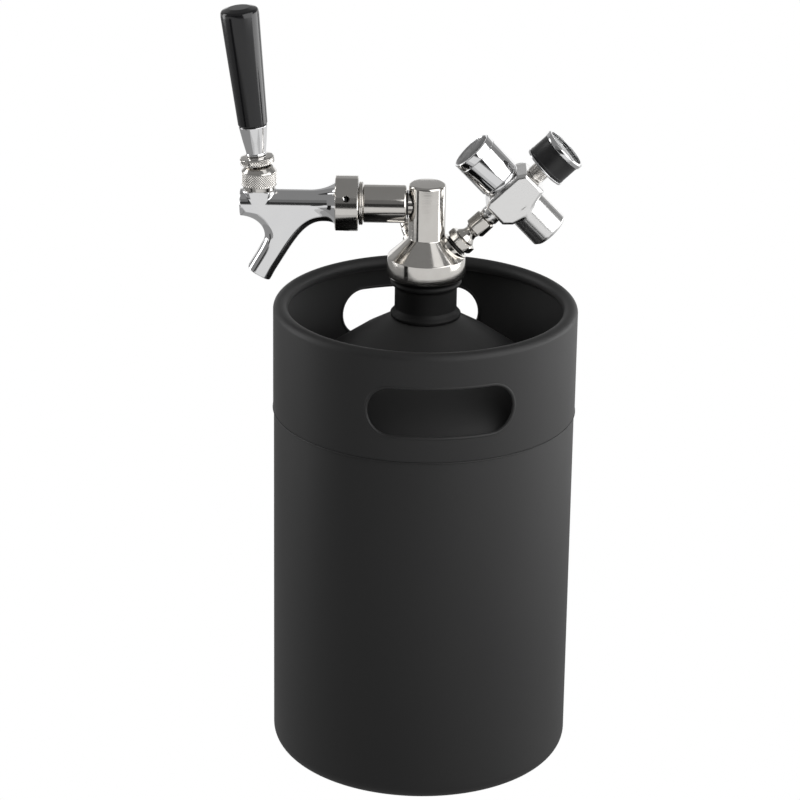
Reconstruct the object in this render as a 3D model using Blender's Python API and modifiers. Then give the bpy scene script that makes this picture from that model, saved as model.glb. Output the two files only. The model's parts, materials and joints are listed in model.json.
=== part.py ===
"""Mini beer keg with a screw-in tap head, a lever faucet and a cartridge gas regulator.

Metres, +Z up. The origin is on the keg's axis, in the plane it stands on. The faucet
points to -X and the regulator to +X. Run with: blender --background --python part.py
"""

import math

import bmesh
import bpy
from mathutils import Matrix, Vector

# ---------------------------------------------------------------- driving dimensions
GAP = 0.0003  # clearance between pieces that touch
SHEET = 0.0018  # wall of the keg's pressings

KEG_R = 0.0971
SKIRT_R = 0.0976
SEAM_Z = 0.2373
RIM_Z = 0.3090
RIM_ROLL_R = 0.0047
BASE_CORNER_R = 0.0108
BASE_RING_R = 0.0780
BASE_PANEL_Z = 0.0020

SLOT_Z = 0.2702
SLOT_HEIGHT = 0.0322
SLOT_WIDTH = 0.0927
SLOT_TURN = math.radians(6.7)

NECK_R = 0.0199
NECK_BORE_R = 0.0165
DOME_EDGE_Z = 0.2529
DOME_TOP_Z = 0.3010
NECK_TOP_Z = 0.3258
BEAD_R = 0.0220
BEAD_Z = 0.3234

CAP_R = 0.0248
CAP_BASE_Z = 0.3272
CAP_TOP_Z = 0.3406
COLUMN_R = 0.0117
COLUMN_BASE_Z = 0.3525
COLUMN_TOP_Z = 0.3882
HEAD_BORE_R = 0.0044

SHANK_Z = 0.3744
SHANK_R = 0.0121
SHANK_THREAD_R = 0.0105
SHANK_NECK_R = 0.0070
BEER_BORE_R = 0.0040

NUT_R = 0.0176
NUT_X = (-0.0582, -0.0436)

BARREL_R = 0.0083
BARREL_BORE_R = 0.0054
WEB_THICK = 0.0152
BODY_END_X = -0.1185
FLARE_R = 0.0144
LEVER_X = -0.1064
BALL_Z = 0.3910
BALL_R = 0.0060
LEVER_LEAN = math.radians(5.4)
SPOUT_TIP = (-0.1062, 0.3274)
SPOUT_SLOPE = math.radians(61.2)

INLET_ANGLE = math.radians(44)
REGULATOR_ROLL = math.radians(-1)
REGULATOR_CENTRE = Vector((0.0547, 0, 0.3822))
KNOB_R = 0.0140
SOCKET_R = 0.01305
SOCKET_BORE_R = 0.0096
GAUGE_R = 0.0148

ROUND_LARGE = 48
ROUND_HEAD = 32
ROUND_MEDIUM = 24
ROUND_SMALL = 16

# ---------------------------------------------------------------- frames
UP = Vector((0, 0, 1))
INLET_AXIS = Vector((math.cos(INLET_ANGLE), 0, math.sin(INLET_ANGLE)))
KNOB_AXIS = Matrix.Rotation(-REGULATOR_ROLL, 3, INLET_AXIS) @ Vector(
    (-math.sin(INLET_ANGLE), 0, math.cos(INLET_ANGLE))
)
FACE_AXIS = INLET_AXIS.cross(KNOB_AXIS)
LEVER_AXIS = Vector((-math.sin(LEVER_LEAN), 0, math.cos(LEVER_LEAN)))
BALL_CENTRE = Vector((LEVER_X, 0, BALL_Z))
RELIEF_AXIS = Vector((-0.36, 0.66, 0.66)).normalized()
RELIEF_BASE = Vector((-0.0090, 0.0165, 0.3472))


def axis_frame(origin, direction, side=None):
    """Matrix whose +Z runs along direction, with +X as near to side as it can be."""
    z = Vector(direction).normalized()
    side = Vector(side) if side else Vector((0, 1, 0))
    y = z.cross(side).normalized()
    x = y.cross(z)
    frame = Matrix((x, y, z)).transposed().to_4x4()
    frame.translation = origin
    return frame


AT_KEG = axis_frame((0, 0, 0), UP, (1, 0, 0))
AT_SHANK = axis_frame((0, 0, SHANK_Z), (-1, 0, 0))
AT_BONNET = axis_frame((LEVER_X, 0, 0), UP, (1, 0, 0))
AT_LEVER = axis_frame(BALL_CENTRE, LEVER_AXIS)
AT_INLET = axis_frame(REGULATOR_CENTRE, INLET_AXIS, FACE_AXIS)
AT_FLATS = AT_INLET @ Matrix.Rotation(math.radians(30), 4, "Z")
AT_KNOB = axis_frame(REGULATOR_CENTRE, KNOB_AXIS, FACE_AXIS)
AT_SOCKET = axis_frame(REGULATOR_CENTRE, -KNOB_AXIS, FACE_AXIS)
AT_RELIEF = axis_frame(RELIEF_BASE, RELIEF_AXIS, (0, 0, 1))
AT_BODY = Matrix((INLET_AXIS, KNOB_AXIS, FACE_AXIS)).transposed().to_4x4()
AT_BODY.translation = REGULATOR_CENTRE

# ---------------------------------------------------------------- scene
for old in list(bpy.data.objects):
    bpy.data.objects.remove(old)

PARTS = bpy.data.collections.new("mini_beer_keg")
CUTTERS = bpy.data.collections.new("cutters")
bpy.context.scene.collection.children.link(PARTS)
bpy.context.scene.collection.children.link(CUTTERS)
CUTTERS.hide_render = True


def material(name, colour, roughness, metallic):
    made = bpy.data.materials.new(name)
    made.use_nodes = True
    shader = made.node_tree.nodes["Principled BSDF"]
    shader.inputs["Base Color"].default_value = (*colour, 1)
    shader.inputs["Roughness"].default_value = roughness
    shader.inputs["Metallic"].default_value = metallic
    made.diffuse_color = (*colour, 1)
    return made


BLACK_COAT = material("black_powder_coat", (0.018, 0.018, 0.019), 0.45, 0.0)
STEEL = material("turned_stainless", (0.62, 0.60, 0.58), 0.22, 1.0)
CHROME = material("polished_chrome", (0.78, 0.78, 0.78), 0.06, 1.0)
CAST = material("satin_die_cast", (0.70, 0.70, 0.71), 0.35, 1.0)
RUBBER = material("black_rubber", (0.02, 0.02, 0.02), 0.75, 0.0)
PLASTIC = material("black_plastic", (0.012, 0.012, 0.013), 0.18, 0.0)
SEAL = material("white_seal", (0.80, 0.79, 0.75), 0.55, 0.0)
DIAL = material("printed_dial", (0.72, 0.72, 0.73), 0.50, 0.0)
GLASS = material("gauge_lens", (0.90, 0.92, 0.93), 0.05, 0.0)


def finish(obj, surface, smooth=30):
    """Puts a piece in the object's collection with its material and shading."""
    for holder in list(obj.users_collection):
        holder.objects.unlink(obj)
    PARTS.objects.link(obj)
    obj.data.materials.clear()
    obj.data.materials.append(surface)
    if smooth:
        obj.data.shade_smooth()
        obj.data.set_sharp_from_angle(angle=math.radians(smooth))
    return obj


def as_cutter(obj):
    for holder in list(obj.users_collection):
        holder.objects.unlink(obj)
    CUTTERS.objects.link(obj)
    obj.hide_render = True
    obj.display_type = "WIRE"
    return obj


def turned_object(name, profile, frame, steps):
    """A profile of (radius, height), outer side downwards, turned about the frame's Z."""
    made = bmesh.new()
    points = [made.verts.new((r, 0, z)) for r, z in profile]
    for first, second in zip(points, points[1:]):
        made.edges.new((first, second))
    if profile[0][0] > 0 or profile[-1][0] > 0:
        made.edges.new((points[-1], points[0]))
    mesh = bpy.data.meshes.new(name)
    made.to_mesh(mesh)
    made.free()
    obj = bpy.data.objects.new(name, mesh)
    bpy.context.scene.collection.objects.link(obj)
    obj.matrix_world = frame
    screw = obj.modifiers.new("turn", "SCREW")
    screw.steps = steps
    screw.render_steps = steps
    screw.use_merge_vertices = True
    screw.merge_threshold = 0.00001
    return obj


def turned(name, profile, frame, steps, surface):
    return finish(turned_object(name, profile, frame, steps), surface)


def ring(name, outer, inner, low, high, frame, steps, surface, chamfer=0.0):
    """A flat ring or tube with square or chamfered edges."""
    profile = ring_profile(outer, inner, low, high, chamfer)
    return turned(name, profile, frame, steps, surface)


def ring_profile(outer, inner, low, high, chamfer=0.0):
    if not chamfer:
        return [(outer, high), (outer, low), (inner, low), (inner, high)]
    return [
        (outer - chamfer, high),
        (outer, high - chamfer),
        (outer, low + chamfer),
        (outer - chamfer, low),
        (inner, low),
        (inner, high),
    ]


def arc(centre, radius, start, end, count):
    """Points of an arc in the profile plane, angles in degrees from +R towards +Z."""
    angles = [start + (end - start) * i / count for i in range(count + 1)]
    return [
        (
            centre[0] + radius * math.cos(math.radians(a)),
            centre[1] + radius * math.sin(math.radians(a)),
        )
        for a in angles
    ]


def o_ring(name, centre_r, height, section_r, frame, steps, surface):
    """A ring of round section."""
    profile = arc((centre_r, height), section_r, 90, -270, 8)[:-1]
    return turned(name, profile, frame, steps, surface)


def boolean(obj, other, operation, solver="EXACT"):
    step = obj.modifiers.new(f"{operation.lower()}_{other.name}", "BOOLEAN")
    step.operation = operation
    step.object = other
    step.solver = solver
    return obj


def bar(name, radius, low, high, frame, steps):
    """A solid cylinder along the frame's Z, for cutting and joining."""
    profile = [(0, high), (radius, high), (radius, low), (0, low)]
    return as_cutter(turned_object(name, profile, frame, steps))


def hexagon(name, corner_r, low, high, frame, surface, chamfer=0.0006):
    """A hexagonal prism with bevelled edges."""
    made = bmesh.new()
    bmesh.ops.create_cone(
        made,
        cap_ends=True,
        segments=6,
        radius1=corner_r,
        radius2=corner_r,
        depth=high - low,
    )
    bmesh.ops.translate(made, verts=made.verts, vec=(0, 0, (high + low) / 2))
    mesh = bpy.data.meshes.new(name)
    made.to_mesh(mesh)
    made.free()
    obj = bpy.data.objects.new(name, mesh)
    obj.matrix_world = frame
    bevel = obj.modifiers.new("edges", "BEVEL")
    bevel.width = chamfer
    bevel.segments = 1
    bevel.limit_method = "ANGLE"
    bevel.angle_limit = math.radians(40)
    return finish(obj, surface, 0)


def plate(name, outline, thickness, frame):
    """A flat closed outline in the frame's XY plane, thick along its Z, as a mesh."""
    curve = bpy.data.curves.new(name, "CURVE")
    curve.dimensions = "2D"
    curve.fill_mode = "BOTH"
    curve.extrude = thickness / 2
    spline = curve.splines.new("POLY")
    spline.points.add(len(outline) - 1)
    for point, (x, y) in zip(spline.points, outline):
        point.co = (x, y, 0, 1)
    spline.use_cyclic_u = True
    guide = bpy.data.objects.new(name + "_outline", curve)
    bpy.context.scene.collection.objects.link(guide)
    guide.matrix_world = frame
    bpy.context.view_layer.update()
    evaluated = guide.evaluated_get(bpy.context.evaluated_depsgraph_get())
    mesh = bpy.data.meshes.new_from_object(evaluated)
    welded = bmesh.new()
    welded.from_mesh(mesh)
    bmesh.ops.remove_doubles(welded, verts=welded.verts, dist=0.00001)
    bmesh.ops.dissolve_limit(welded, angle_limit=0.01, verts=welded.verts, edges=welded.edges)
    welded.to_mesh(mesh)
    welded.free()
    obj = bpy.data.objects.new(name, mesh)
    bpy.context.scene.collection.objects.link(obj)
    obj.matrix_world = guide.matrix_world
    bpy.data.objects.remove(guide)
    return obj


def coil(name, coil_r, wire_r, low, high, turns, frame, surface):
    """A compression spring wound about the frame's Z."""
    per_turn = 8
    count = turns * per_turn
    curve = bpy.data.curves.new(name, "CURVE")
    curve.dimensions = "3D"
    curve.bevel_depth = wire_r
    curve.bevel_resolution = 0
    curve.use_fill_caps = True
    spline = curve.splines.new("POLY")
    spline.points.add(count)
    for i, point in enumerate(spline.points):
        angle = 2 * math.pi * i / per_turn
        height = low + (high - low) * i / count
        point.co = (coil_r * math.cos(angle), coil_r * math.sin(angle), height, 1)
    obj = bpy.data.objects.new(name, curve)
    obj.matrix_world = frame
    return finish(obj, surface, 0)


# ---------------------------------------------------------------- keg
def make_keg_shell():
    """The drawn cup: wall, rolled corner, standing ring and a pressed-in base panel."""
    corner = (KEG_R - BASE_CORNER_R, BASE_CORNER_R)
    inner_z = BASE_PANEL_Z + SHEET
    profile = [(0, inner_z), (BASE_RING_R, inner_z), (corner[0], SHEET + 0.0002)]
    profile += arc(corner, BASE_CORNER_R - SHEET, -90, 0, 4)[1:]
    profile += [(KEG_R - SHEET, SEAM_Z), (KEG_R, SEAM_Z)]
    profile += arc(corner, BASE_CORNER_R, 0, -90, 5)
    profile += [(BASE_RING_R, 0), (BASE_RING_R - BASE_PANEL_Z, BASE_PANEL_Z), (0, BASE_PANEL_Z)]
    return turned("keg_shell", profile, AT_KEG, ROUND_LARGE, BLACK_COAT)


def make_shoulder_dome():
    """The domed top: a flange inside the seam, a rounded shoulder and a hole for the neck."""
    flange_r = KEG_R - SHEET - GAP
    knuckle = 0.010
    slope = math.degrees(math.atan2(DOME_TOP_Z - DOME_EDGE_Z, flange_r - 0.003 - NECK_R))
    centre = (flange_r - knuckle, DOME_EDGE_Z - knuckle * 0.75)
    hole_r = NECK_R + GAP
    start = arc(centre, knuckle, 90 - slope, 0, 3)
    rise = math.tan(math.radians(slope))
    top_z = start[0][1] + (start[0][0] - hole_r) * rise
    low_z = SEAM_Z - 0.0150
    outer = [(hole_r, top_z)] + start + [(flange_r, low_z)]
    under = arc(centre, knuckle - SHEET, 0, 90 - slope, 3)
    drop = SHEET / math.cos(math.radians(slope))
    inner = [(flange_r - SHEET, low_z)] + under + [(hole_r, top_z - drop)]
    return turned("shoulder_dome", outer + inner, AT_KEG, ROUND_LARGE, BLACK_COAT)


def make_neck_collar():
    """The welded neck: a weld bead at the foot, a straight tube and a rolled mouth bead."""
    bead = arc((BEAD_R - 0.0022, BEAD_Z), 0.0022, 60, -60, 4)
    profile = [(NECK_R, NECK_TOP_Z)] + bead
    profile += [(NECK_R, BEAD_Z - 0.0030), (NECK_R, 0.3046), (NECK_R + 0.0028, 0.3022)]
    profile += [(NECK_R + 0.0024, 0.3003), (NECK_R, 0.3016), (NECK_R, 0.2940)]
    profile += [(NECK_BORE_R, 0.2940), (NECK_BORE_R, NECK_TOP_Z)]
    return turned("neck_collar", profile, AT_KEG, ROUND_HEAD, BLACK_COAT)


def stadium(width, height, segments):
    """Outline of a slot with round ends, centred on the origin."""
    r = height / 2
    half = width / 2 - r
    right = arc((half, 0), r, -90, 90, segments)
    left = arc((-half, 0), r, 90, 270, segments)
    return right + left


def make_handle_skirt():
    """The welded-on collar with a rolled rim and two hand slots."""
    wall_in = SKIRT_R - SHEET
    centre = (SKIRT_R - RIM_ROLL_R, RIM_Z - RIM_ROLL_R)
    curl_in = RIM_ROLL_R - SHEET
    profile = arc(centre, RIM_ROLL_R, 225, 0, 8)
    profile += [(SKIRT_R, SEAM_Z + GAP), (wall_in, SEAM_Z + GAP)]
    profile += arc(centre, curl_in, 0, 225, 6)
    skirt = turned("handle_skirt", profile, AT_KEG, ROUND_LARGE, BLACK_COAT)
    across = axis_frame((0, 0, SLOT_Z), (math.sin(SLOT_TURN), -math.cos(SLOT_TURN), 0), UP)
    across = across @ Matrix.Rotation(math.radians(90), 4, "Z")
    slot = plate("hand_slots", stadium(SLOT_WIDTH, SLOT_HEIGHT, 6), 3 * SKIRT_R, across)
    return boolean(skirt, as_cutter(slot), "DIFFERENCE")


def make_keg():
    make_keg_shell()
    make_shoulder_dome()
    make_neck_collar()
    make_handle_skirt()


# ---------------------------------------------------------------- tap head
def make_head_gasket():
    ring("head_gasket", 0.0209, 0.0169, NECK_TOP_Z + GAP, CAP_BASE_Z - GAP, AT_KEG, ROUND_HEAD, RUBBER)


def make_tap_head_body():
    """Screw plug, knurl-free cap band, cone and column in one turned piece, with its ports."""
    plug_r = NECK_BORE_R - GAP
    profile = [
        (0, COLUMN_TOP_Z),
        (COLUMN_R - 0.0011, COLUMN_TOP_Z),
        (COLUMN_R, COLUMN_TOP_Z - 0.0011),
        (COLUMN_R, COLUMN_BASE_Z),
        (CAP_R - 0.0004, CAP_TOP_Z),
        (CAP_R, CAP_TOP_Z - 0.0006),
        (CAP_R, CAP_BASE_Z + 0.0014),
        (CAP_R - 0.0014, CAP_BASE_Z),
        (plug_r, CAP_BASE_Z),
        (plug_r, 0.3130),
        (plug_r - 0.0010, 0.3120),
        (0, 0.3120),
    ]
    body = turned("tap_head_body", profile, AT_KEG, ROUND_HEAD, STEEL)
    boss = bar("gas_boss", 0.0098, -0.0600, -0.0504, AT_INLET, ROUND_MEDIUM)
    boolean(body, boss, "UNION")
    relief_boss = bar("relief_boss", 0.0066, -0.0040, 0.0006, AT_RELIEF, ROUND_SMALL)
    boolean(body, relief_boss, "UNION")
    for cutter in (
        bar("dip_bore", HEAD_BORE_R, 0.3000, SHANK_Z, AT_KEG, 16),
        bar("plug_recess", 0.0086, 0.3000, 0.3170, AT_KEG, ROUND_SMALL),
        bar("shank_port", SHANK_NECK_R + GAP, 0.0040, 0.0300, AT_SHANK, ROUND_SMALL),
        bar("gas_seal_seat", 0.0078, -0.0509, -0.0400, AT_INLET, ROUND_MEDIUM),
        bar("gas_port", 0.0052, -0.0585, -0.0400, AT_INLET, ROUND_SMALL),
        bar("gas_drilling", 0.0016, 0.3000, 0.3480, axis_frame((0.0122, 0, 0), UP), 10),
        bar("relief_port", 0.0036, -0.0060, 0.0100, AT_RELIEF, 16),
        bar("relief_drilling", 0.0014, 0.3000, 0.3460, axis_frame((-0.0062, 0.0112, 0), UP), 10),
    ):
        boolean(body, cutter, "DIFFERENCE")
    return body


def make_dip_tube():
    """The beer line inside the keg: a straight tube, its nut in the plug and its O-ring."""
    ring("dip_tube", 0.0040, 0.0031, 0.0130, 0.3560, AT_KEG, 16, STEEL)
    ring("dip_tube_fitting", 0.0078, 0.0052, 0.3078, 0.3144, AT_KEG, 6, STEEL)
    ring("dip_tube_o_ring", 0.0082, 0.0043, 0.3147, 0.3167, AT_KEG, ROUND_SMALL, SEAL)


def make_shank():
    """The beer shank: a neck in the column's port, a round shoulder and a threaded end."""
    shoulder = arc((SHANK_R - 0.0034, 0.0166), 0.0034, -90, 0, 3)
    profile = [
        (BEER_BORE_R, 0.0090),
        (BEER_BORE_R, 0.0504),
        (SHANK_THREAD_R, 0.0504),
        (SHANK_THREAD_R, 0.0403),
        (SHANK_R, 0.0403),
    ]
    profile += shoulder[::-1]
    profile += [(SHANK_NECK_R, 0.0132), (SHANK_NECK_R, 0.0090)]
    turned("shank", profile, AT_SHANK, ROUND_MEDIUM, STEEL)
    ring("shank_o_ring", 0.0088, 0.0073, 0.0120, 0.0129, AT_SHANK, ROUND_SMALL, RUBBER)
    ring("shank_flange_ring", 0.0138, 0.0108, 0.0406, 0.0432, AT_SHANK, ROUND_MEDIUM, STEEL, 0.0004)


def make_coupling_nut():
    """The nut that draws the faucet on to the shank, with holes for a hook spanner."""
    near, far = -NUT_X[1], -NUT_X[0]
    edge = 0.0005
    profile = [
        (NUT_R - edge, far),
        (NUT_R, far - edge),
        (NUT_R, near + edge),
        (NUT_R - edge, near),
        (0.0109, near),
        (0.0109, near + 0.0022),
        (0.0160, near + 0.0022),
        (0.0160, far - 0.0018),
        (0.0148, far - 0.0018),
        (0.0148, far),
    ]
    nut = turned("faucet_coupling_nut", profile, AT_SHANK, ROUND_MEDIUM, STEEL)
    middle = (NUT_X[0] + NUT_X[1]) / 2 + 0.0002
    for i in range(4):
        angle = math.radians(206.6 + 90 * i)
        out = Vector((0, math.cos(angle), -math.sin(angle)))
        frame = axis_frame((middle, 0, SHANK_Z), out, (1, 0, 0))
        boolean(nut, bar(f"spanner_hole_{i}", 0.0018, 0.0130, 0.0200, frame, 12), "DIFFERENCE")
    ring("faucet_washer", 0.0140, 0.0050, 0.0507, 0.0520, AT_SHANK, ROUND_MEDIUM, RUBBER)


# ---------------------------------------------------------------- faucet
def spout_outline():
    """The casting's side outline in X and Z: barrel end, front curve, spout tip, back curve."""
    front = bezier((-0.1185, 0.3645), (-0.1060, 0.3640), (-0.0985, 0.3520), (-0.1042, 0.3482), 5)
    back = bezier((-0.0955, 0.3310), (-0.0850, 0.3480), (-0.0780, 0.3630), (-0.0660, 0.3632), 6)
    return (
        [(BODY_END_X, 0.3790)]
        + front
        + [(-0.1132, 0.3316), (-0.0992, 0.3236)]
        + back
        + [(-0.0620, 0.3632), (-0.0620, 0.3790)]
    )


def bezier(a, b, c, d, count):
    points = []
    for i in range(count + 1):
        t = i / count
        weights = ((1 - t) ** 3, 3 * t * (1 - t) ** 2, 3 * t * t * (1 - t), t**3)
        points.append(
            tuple(sum(w * p[k] for w, p in zip(weights, (a, b, c, d))) for k in (0, 1))
        )
    return points


def finger_swing_outline():
    """The slot that the lever's finger swings in, from the ball down into the barrel."""
    right = ((0.0116, 0.3740), (0.0092, 0.3800), (0.0050, 0.3880))
    return [(LEVER_X - 0.0030, 0.3740)] + [(LEVER_X + x, z) for x, z in right] + [
        (LEVER_X - 0.0030, 0.3880)
    ]


def round_perimeter(obj, width):
    """Rounds the edges round both faces of a plate, and leaves its outline's corners."""
    weights = obj.data.attributes.new("bevel_weight_edge", "FLOAT", "EDGE")
    points = obj.data.vertices
    for edge, weight in zip(obj.data.edges, weights.data):
        first, second = (points[i].co.z for i in edge.vertices)
        weight.value = float(abs(first - second) < 0.0001)
    rounding = obj.modifiers.new("edges", "BEVEL")
    rounding.width = width
    rounding.segments = 2
    rounding.limit_method = "WEIGHT"


def make_faucet_body():
    """One casting: tail flange and flare, barrel, bonnet seat and web running into the spout."""
    upright = Matrix.Rotation(math.radians(90), 4, "X")
    web = plate("faucet_body", spout_outline(), WEB_THICK, upright)
    round_perimeter(web, 0.0042)
    tail = [
        (0, 0.0720),
        (BARREL_R - 0.0008, 0.0720),
        (BARREL_R + 0.0006, 0.0680),
        (FLARE_R - 0.0004, 0.0588),
        (FLARE_R, 0.0580),
        (FLARE_R, 0.0561),
        (0.0156, 0.0561),
        (0.0156, 0.0523),
        (0, 0.0523),
    ]
    tail_flange = as_cutter(turned_object("tail_flange", tail, AT_SHANK, ROUND_MEDIUM))
    barrel = bar("barrel", BARREL_R, 0.0600, -BODY_END_X - 0.00005, AT_SHANK, ROUND_MEDIUM)
    seat = [
        (0, 0.3865),
        (0.0088, 0.3865),
        (0.0088, 0.3831),
        (0.0103, 0.3831),
        (0.0104, 0.3806),
        (0.0040, 0.3722),
        (0, 0.3722),
    ]
    bonnet_seat = as_cutter(turned_object("bonnet_seat", seat, AT_BONNET, ROUND_MEDIUM))
    # Web side, barrel and seat cross along one line, which the exact solver leaves open.
    for joined in (tail_flange, barrel, bonnet_seat):
        boolean(web, joined, "UNION", "MANIFOLD")
    tip = Vector((SPOUT_TIP[0], 0, SPOUT_TIP[1]))
    spout_axis = Vector((math.cos(SPOUT_SLOPE), 0, math.sin(SPOUT_SLOPE)))
    for cutter in (
        bar("tail_bore", 0.0092, 0.0500, 0.0650, AT_SHANK, ROUND_SMALL),
        bar("washer_bore", 0.0079, 0.0600, 0.0681, AT_SHANK, ROUND_SMALL),
        bar("barrel_bore", BARREL_BORE_R, 0.0640, 0.1160, AT_SHANK, 16),
        bar("bonnet_bore", 0.0062, SHANK_Z, 0.3900, AT_BONNET, 16),
        bar("spout_bore", 0.0050, -0.0100, 0.0500, axis_frame(tip, spout_axis), 16),
        as_cutter(plate("finger_swing", finger_swing_outline(), 0.0056, upright)),
    ):
        boolean(web, cutter, "DIFFERENCE", "MANIFOLD")
    return finish(web, CHROME)


def make_bonnet():
    """The bonnet nut over the ball, with the two rings that the ball turns between."""
    profile = [
        (0.0086, 0.3982),
        (0.0107, 0.3956),
        (0.0111, 0.3950),
        (0.0111, 0.3862),
        (0.0101, 0.3858),
        (0.0101, 0.3834),
        (0.0091, 0.3834),
        (0.0091, 0.3950),
        (0.0074, 0.3955),
        (0.0074, 0.3982),
    ]
    turned("bonnet_nut", profile, AT_BONNET, ROUND_MEDIUM, STEEL)
    ring("ball_washer", 0.0086, 0.0057, 0.3868, 0.3886, AT_BONNET, ROUND_SMALL, SEAL)
    ring("lever_friction_ring", 0.0086, 0.0061, 0.3924, 0.3946, AT_BONNET, ROUND_SMALL, SEAL)


def make_lever():
    """Ball lever with its finger, dished lock nut, ferrule, stud and tap handle."""
    ball = arc((0, 0), BALL_R, 61, -70, 8)
    profile = [(0, 0.0240), (0.0029, 0.0240)] + ball + [(0.0020, -0.0172), (0, -0.0174)]
    turned("lever", profile, AT_LEVER, ROUND_SMALL, STEEL)
    lock = [
        (0.0070, 0.0142),
        (0.0098, 0.0136),
        (0.0106, 0.0128),
        (0.0106, 0.0096),
        (0.0098, 0.0088),
        (0.0045, 0.0114),
        (0.0032, 0.0114),
        (0.0032, 0.0142),
    ]
    turned("lever_lock_nut", lock, AT_LEVER, ROUND_MEDIUM, STEEL)
    ferrule = [
        (0.0090, 0.0340),
        (0.0062, 0.0162),
        (0.0066, 0.0150),
        (0.0062, 0.0145),
        (0.0032, 0.0145),
        (0.0032, 0.0250),
        (0.0036, 0.0250),
        (0.0036, 0.0340),
    ]
    turned("handle_ferrule", ferrule, AT_LEVER, ROUND_MEDIUM, CHROME)
    turned("handle_stud", [(0, 0.0520), (0.0033, 0.0520), (0.0033, 0.0253), (0, 0.0253)],
           AT_LEVER, 16, STEEL)
    crown = arc((0.0090, 0.1066), 0.0031, 80, 0, 3)
    handle = [(0, 0.1104)] + crown + [(0.0093, 0.0349), (0.0086, 0.0343), (0.0037, 0.0343)]
    handle += [(0.0037, 0.0540), (0, 0.0540)]
    turned("tap_handle", handle, AT_LEVER, ROUND_MEDIUM, PLASTIC)


def make_plunger():
    """The valve shaft that the lever's finger pushes, with its rear washer and nut."""
    slot_middle = -0.1047 + 0.0002
    shaft = [
        (0, 0.1150),
        (0.0018, 0.1150),
        (0.0018, 0.1116),
        (0.0046, 0.1108),
        (0.0046, 0.0980),
        (0.0020, 0.0972),
        (0.0020, 0.0605),
        (0, 0.0605),
    ]
    plunger = turned("plunger_shaft", shaft, AT_SHANK, 16, STEEL)
    made = bmesh.new()
    bmesh.ops.create_cube(made, size=1.0)
    bmesh.ops.scale(made, verts=made.verts, vec=(0.0078, 0.0050, 0.0110))
    mesh = bpy.data.meshes.new("finger_slot")
    made.to_mesh(mesh)
    made.free()
    slot = bpy.data.objects.new("finger_slot", mesh)
    slot.location = (slot_middle, 0, SHANK_Z + 0.0030)
    boolean(plunger, as_cutter(slot), "DIFFERENCE")
    ring("shaft_seat_washer", 0.0074, 0.0023, 0.0657, 0.0677, AT_SHANK, ROUND_SMALL, RUBBER)
    ring("shaft_nut", 0.0046, 0.0027, 0.0628, 0.0654, AT_SHANK, 6, STEEL)


# ---------------------------------------------------------------- gas inlet
def make_gas_inlet():
    """Seal, hex, nipple with its check valve, and the swivel nut that the regulator hangs on."""
    o_ring("gas_inlet_seal", 0.0062, -0.0495, 0.0011, AT_INLET, ROUND_MEDIUM, RUBBER)
    hexed = hexagon("gas_inlet_hex", 0.0103, -0.0481, -0.0429, AT_FLATS, STEEL)
    boolean(hexed, bar("hex_bore", 0.0047, -0.0600, -0.0300, AT_INLET, 16), "DIFFERENCE")
    nipple = [
        (0.0048, -0.0312),
        (0.0052, -0.0318),
        (0.0052, -0.0352),
        (0.0044, -0.0366),
        (0.0048, -0.0392),
        (0.0068, -0.0418),
        (0.0068, -0.0426),
        (0.0044, -0.0426),
        (0.0044, -0.0484),
        (0.0048, -0.0490),
        (0.0048, -0.0560),
        (0.0013, -0.0560),
        (0.0013, -0.0552),
        (0.0026, -0.0552),
        (0.0026, -0.0466),
        (0.0015, -0.0456),
        (0.0015, -0.0312),
    ]
    turned("gas_inlet_nipple", nipple, AT_INLET, ROUND_SMALL, STEEL)
    poppet = [(0, -0.0463), (0.0022, -0.0475), (0.0022, -0.0496), (0, -0.0496)]
    turned("check_valve_poppet", poppet, AT_INLET, 12, SEAL)
    coil("check_valve_spring", 0.0018, 0.0003, -0.0545, -0.0502, 4, AT_INLET, STEEL)
    tail = [
        (0.0036, -0.0120),
        (0.0036, -0.0205),
        (0.0058, -0.0208),
        (0.0058, -0.0233),
        (0.0030, -0.0236),
        (0.0030, -0.0278),
        (0.0044, -0.0286),
        (0.0044, -0.0306),
        (0.0014, -0.0309),
        (0.0014, -0.0120),
    ]
    turned("inlet_tailpiece", tail, AT_INLET, ROUND_SMALL, STEEL)
    nut = hexagon("swivel_nut", 0.0077, -0.0342, -0.0237, AT_FLATS, STEEL)
    bore = [(0, -0.0230), (0.0034, -0.0230), (0.0034, -0.0262), (0.0056, -0.0274)]
    bore += [(0.0056, -0.0350), (0, -0.0350)]
    cut = as_cutter(turned_object("swivel_bore", bore, AT_INLET, ROUND_SMALL))
    boolean(nut, cut, "DIFFERENCE")


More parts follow.
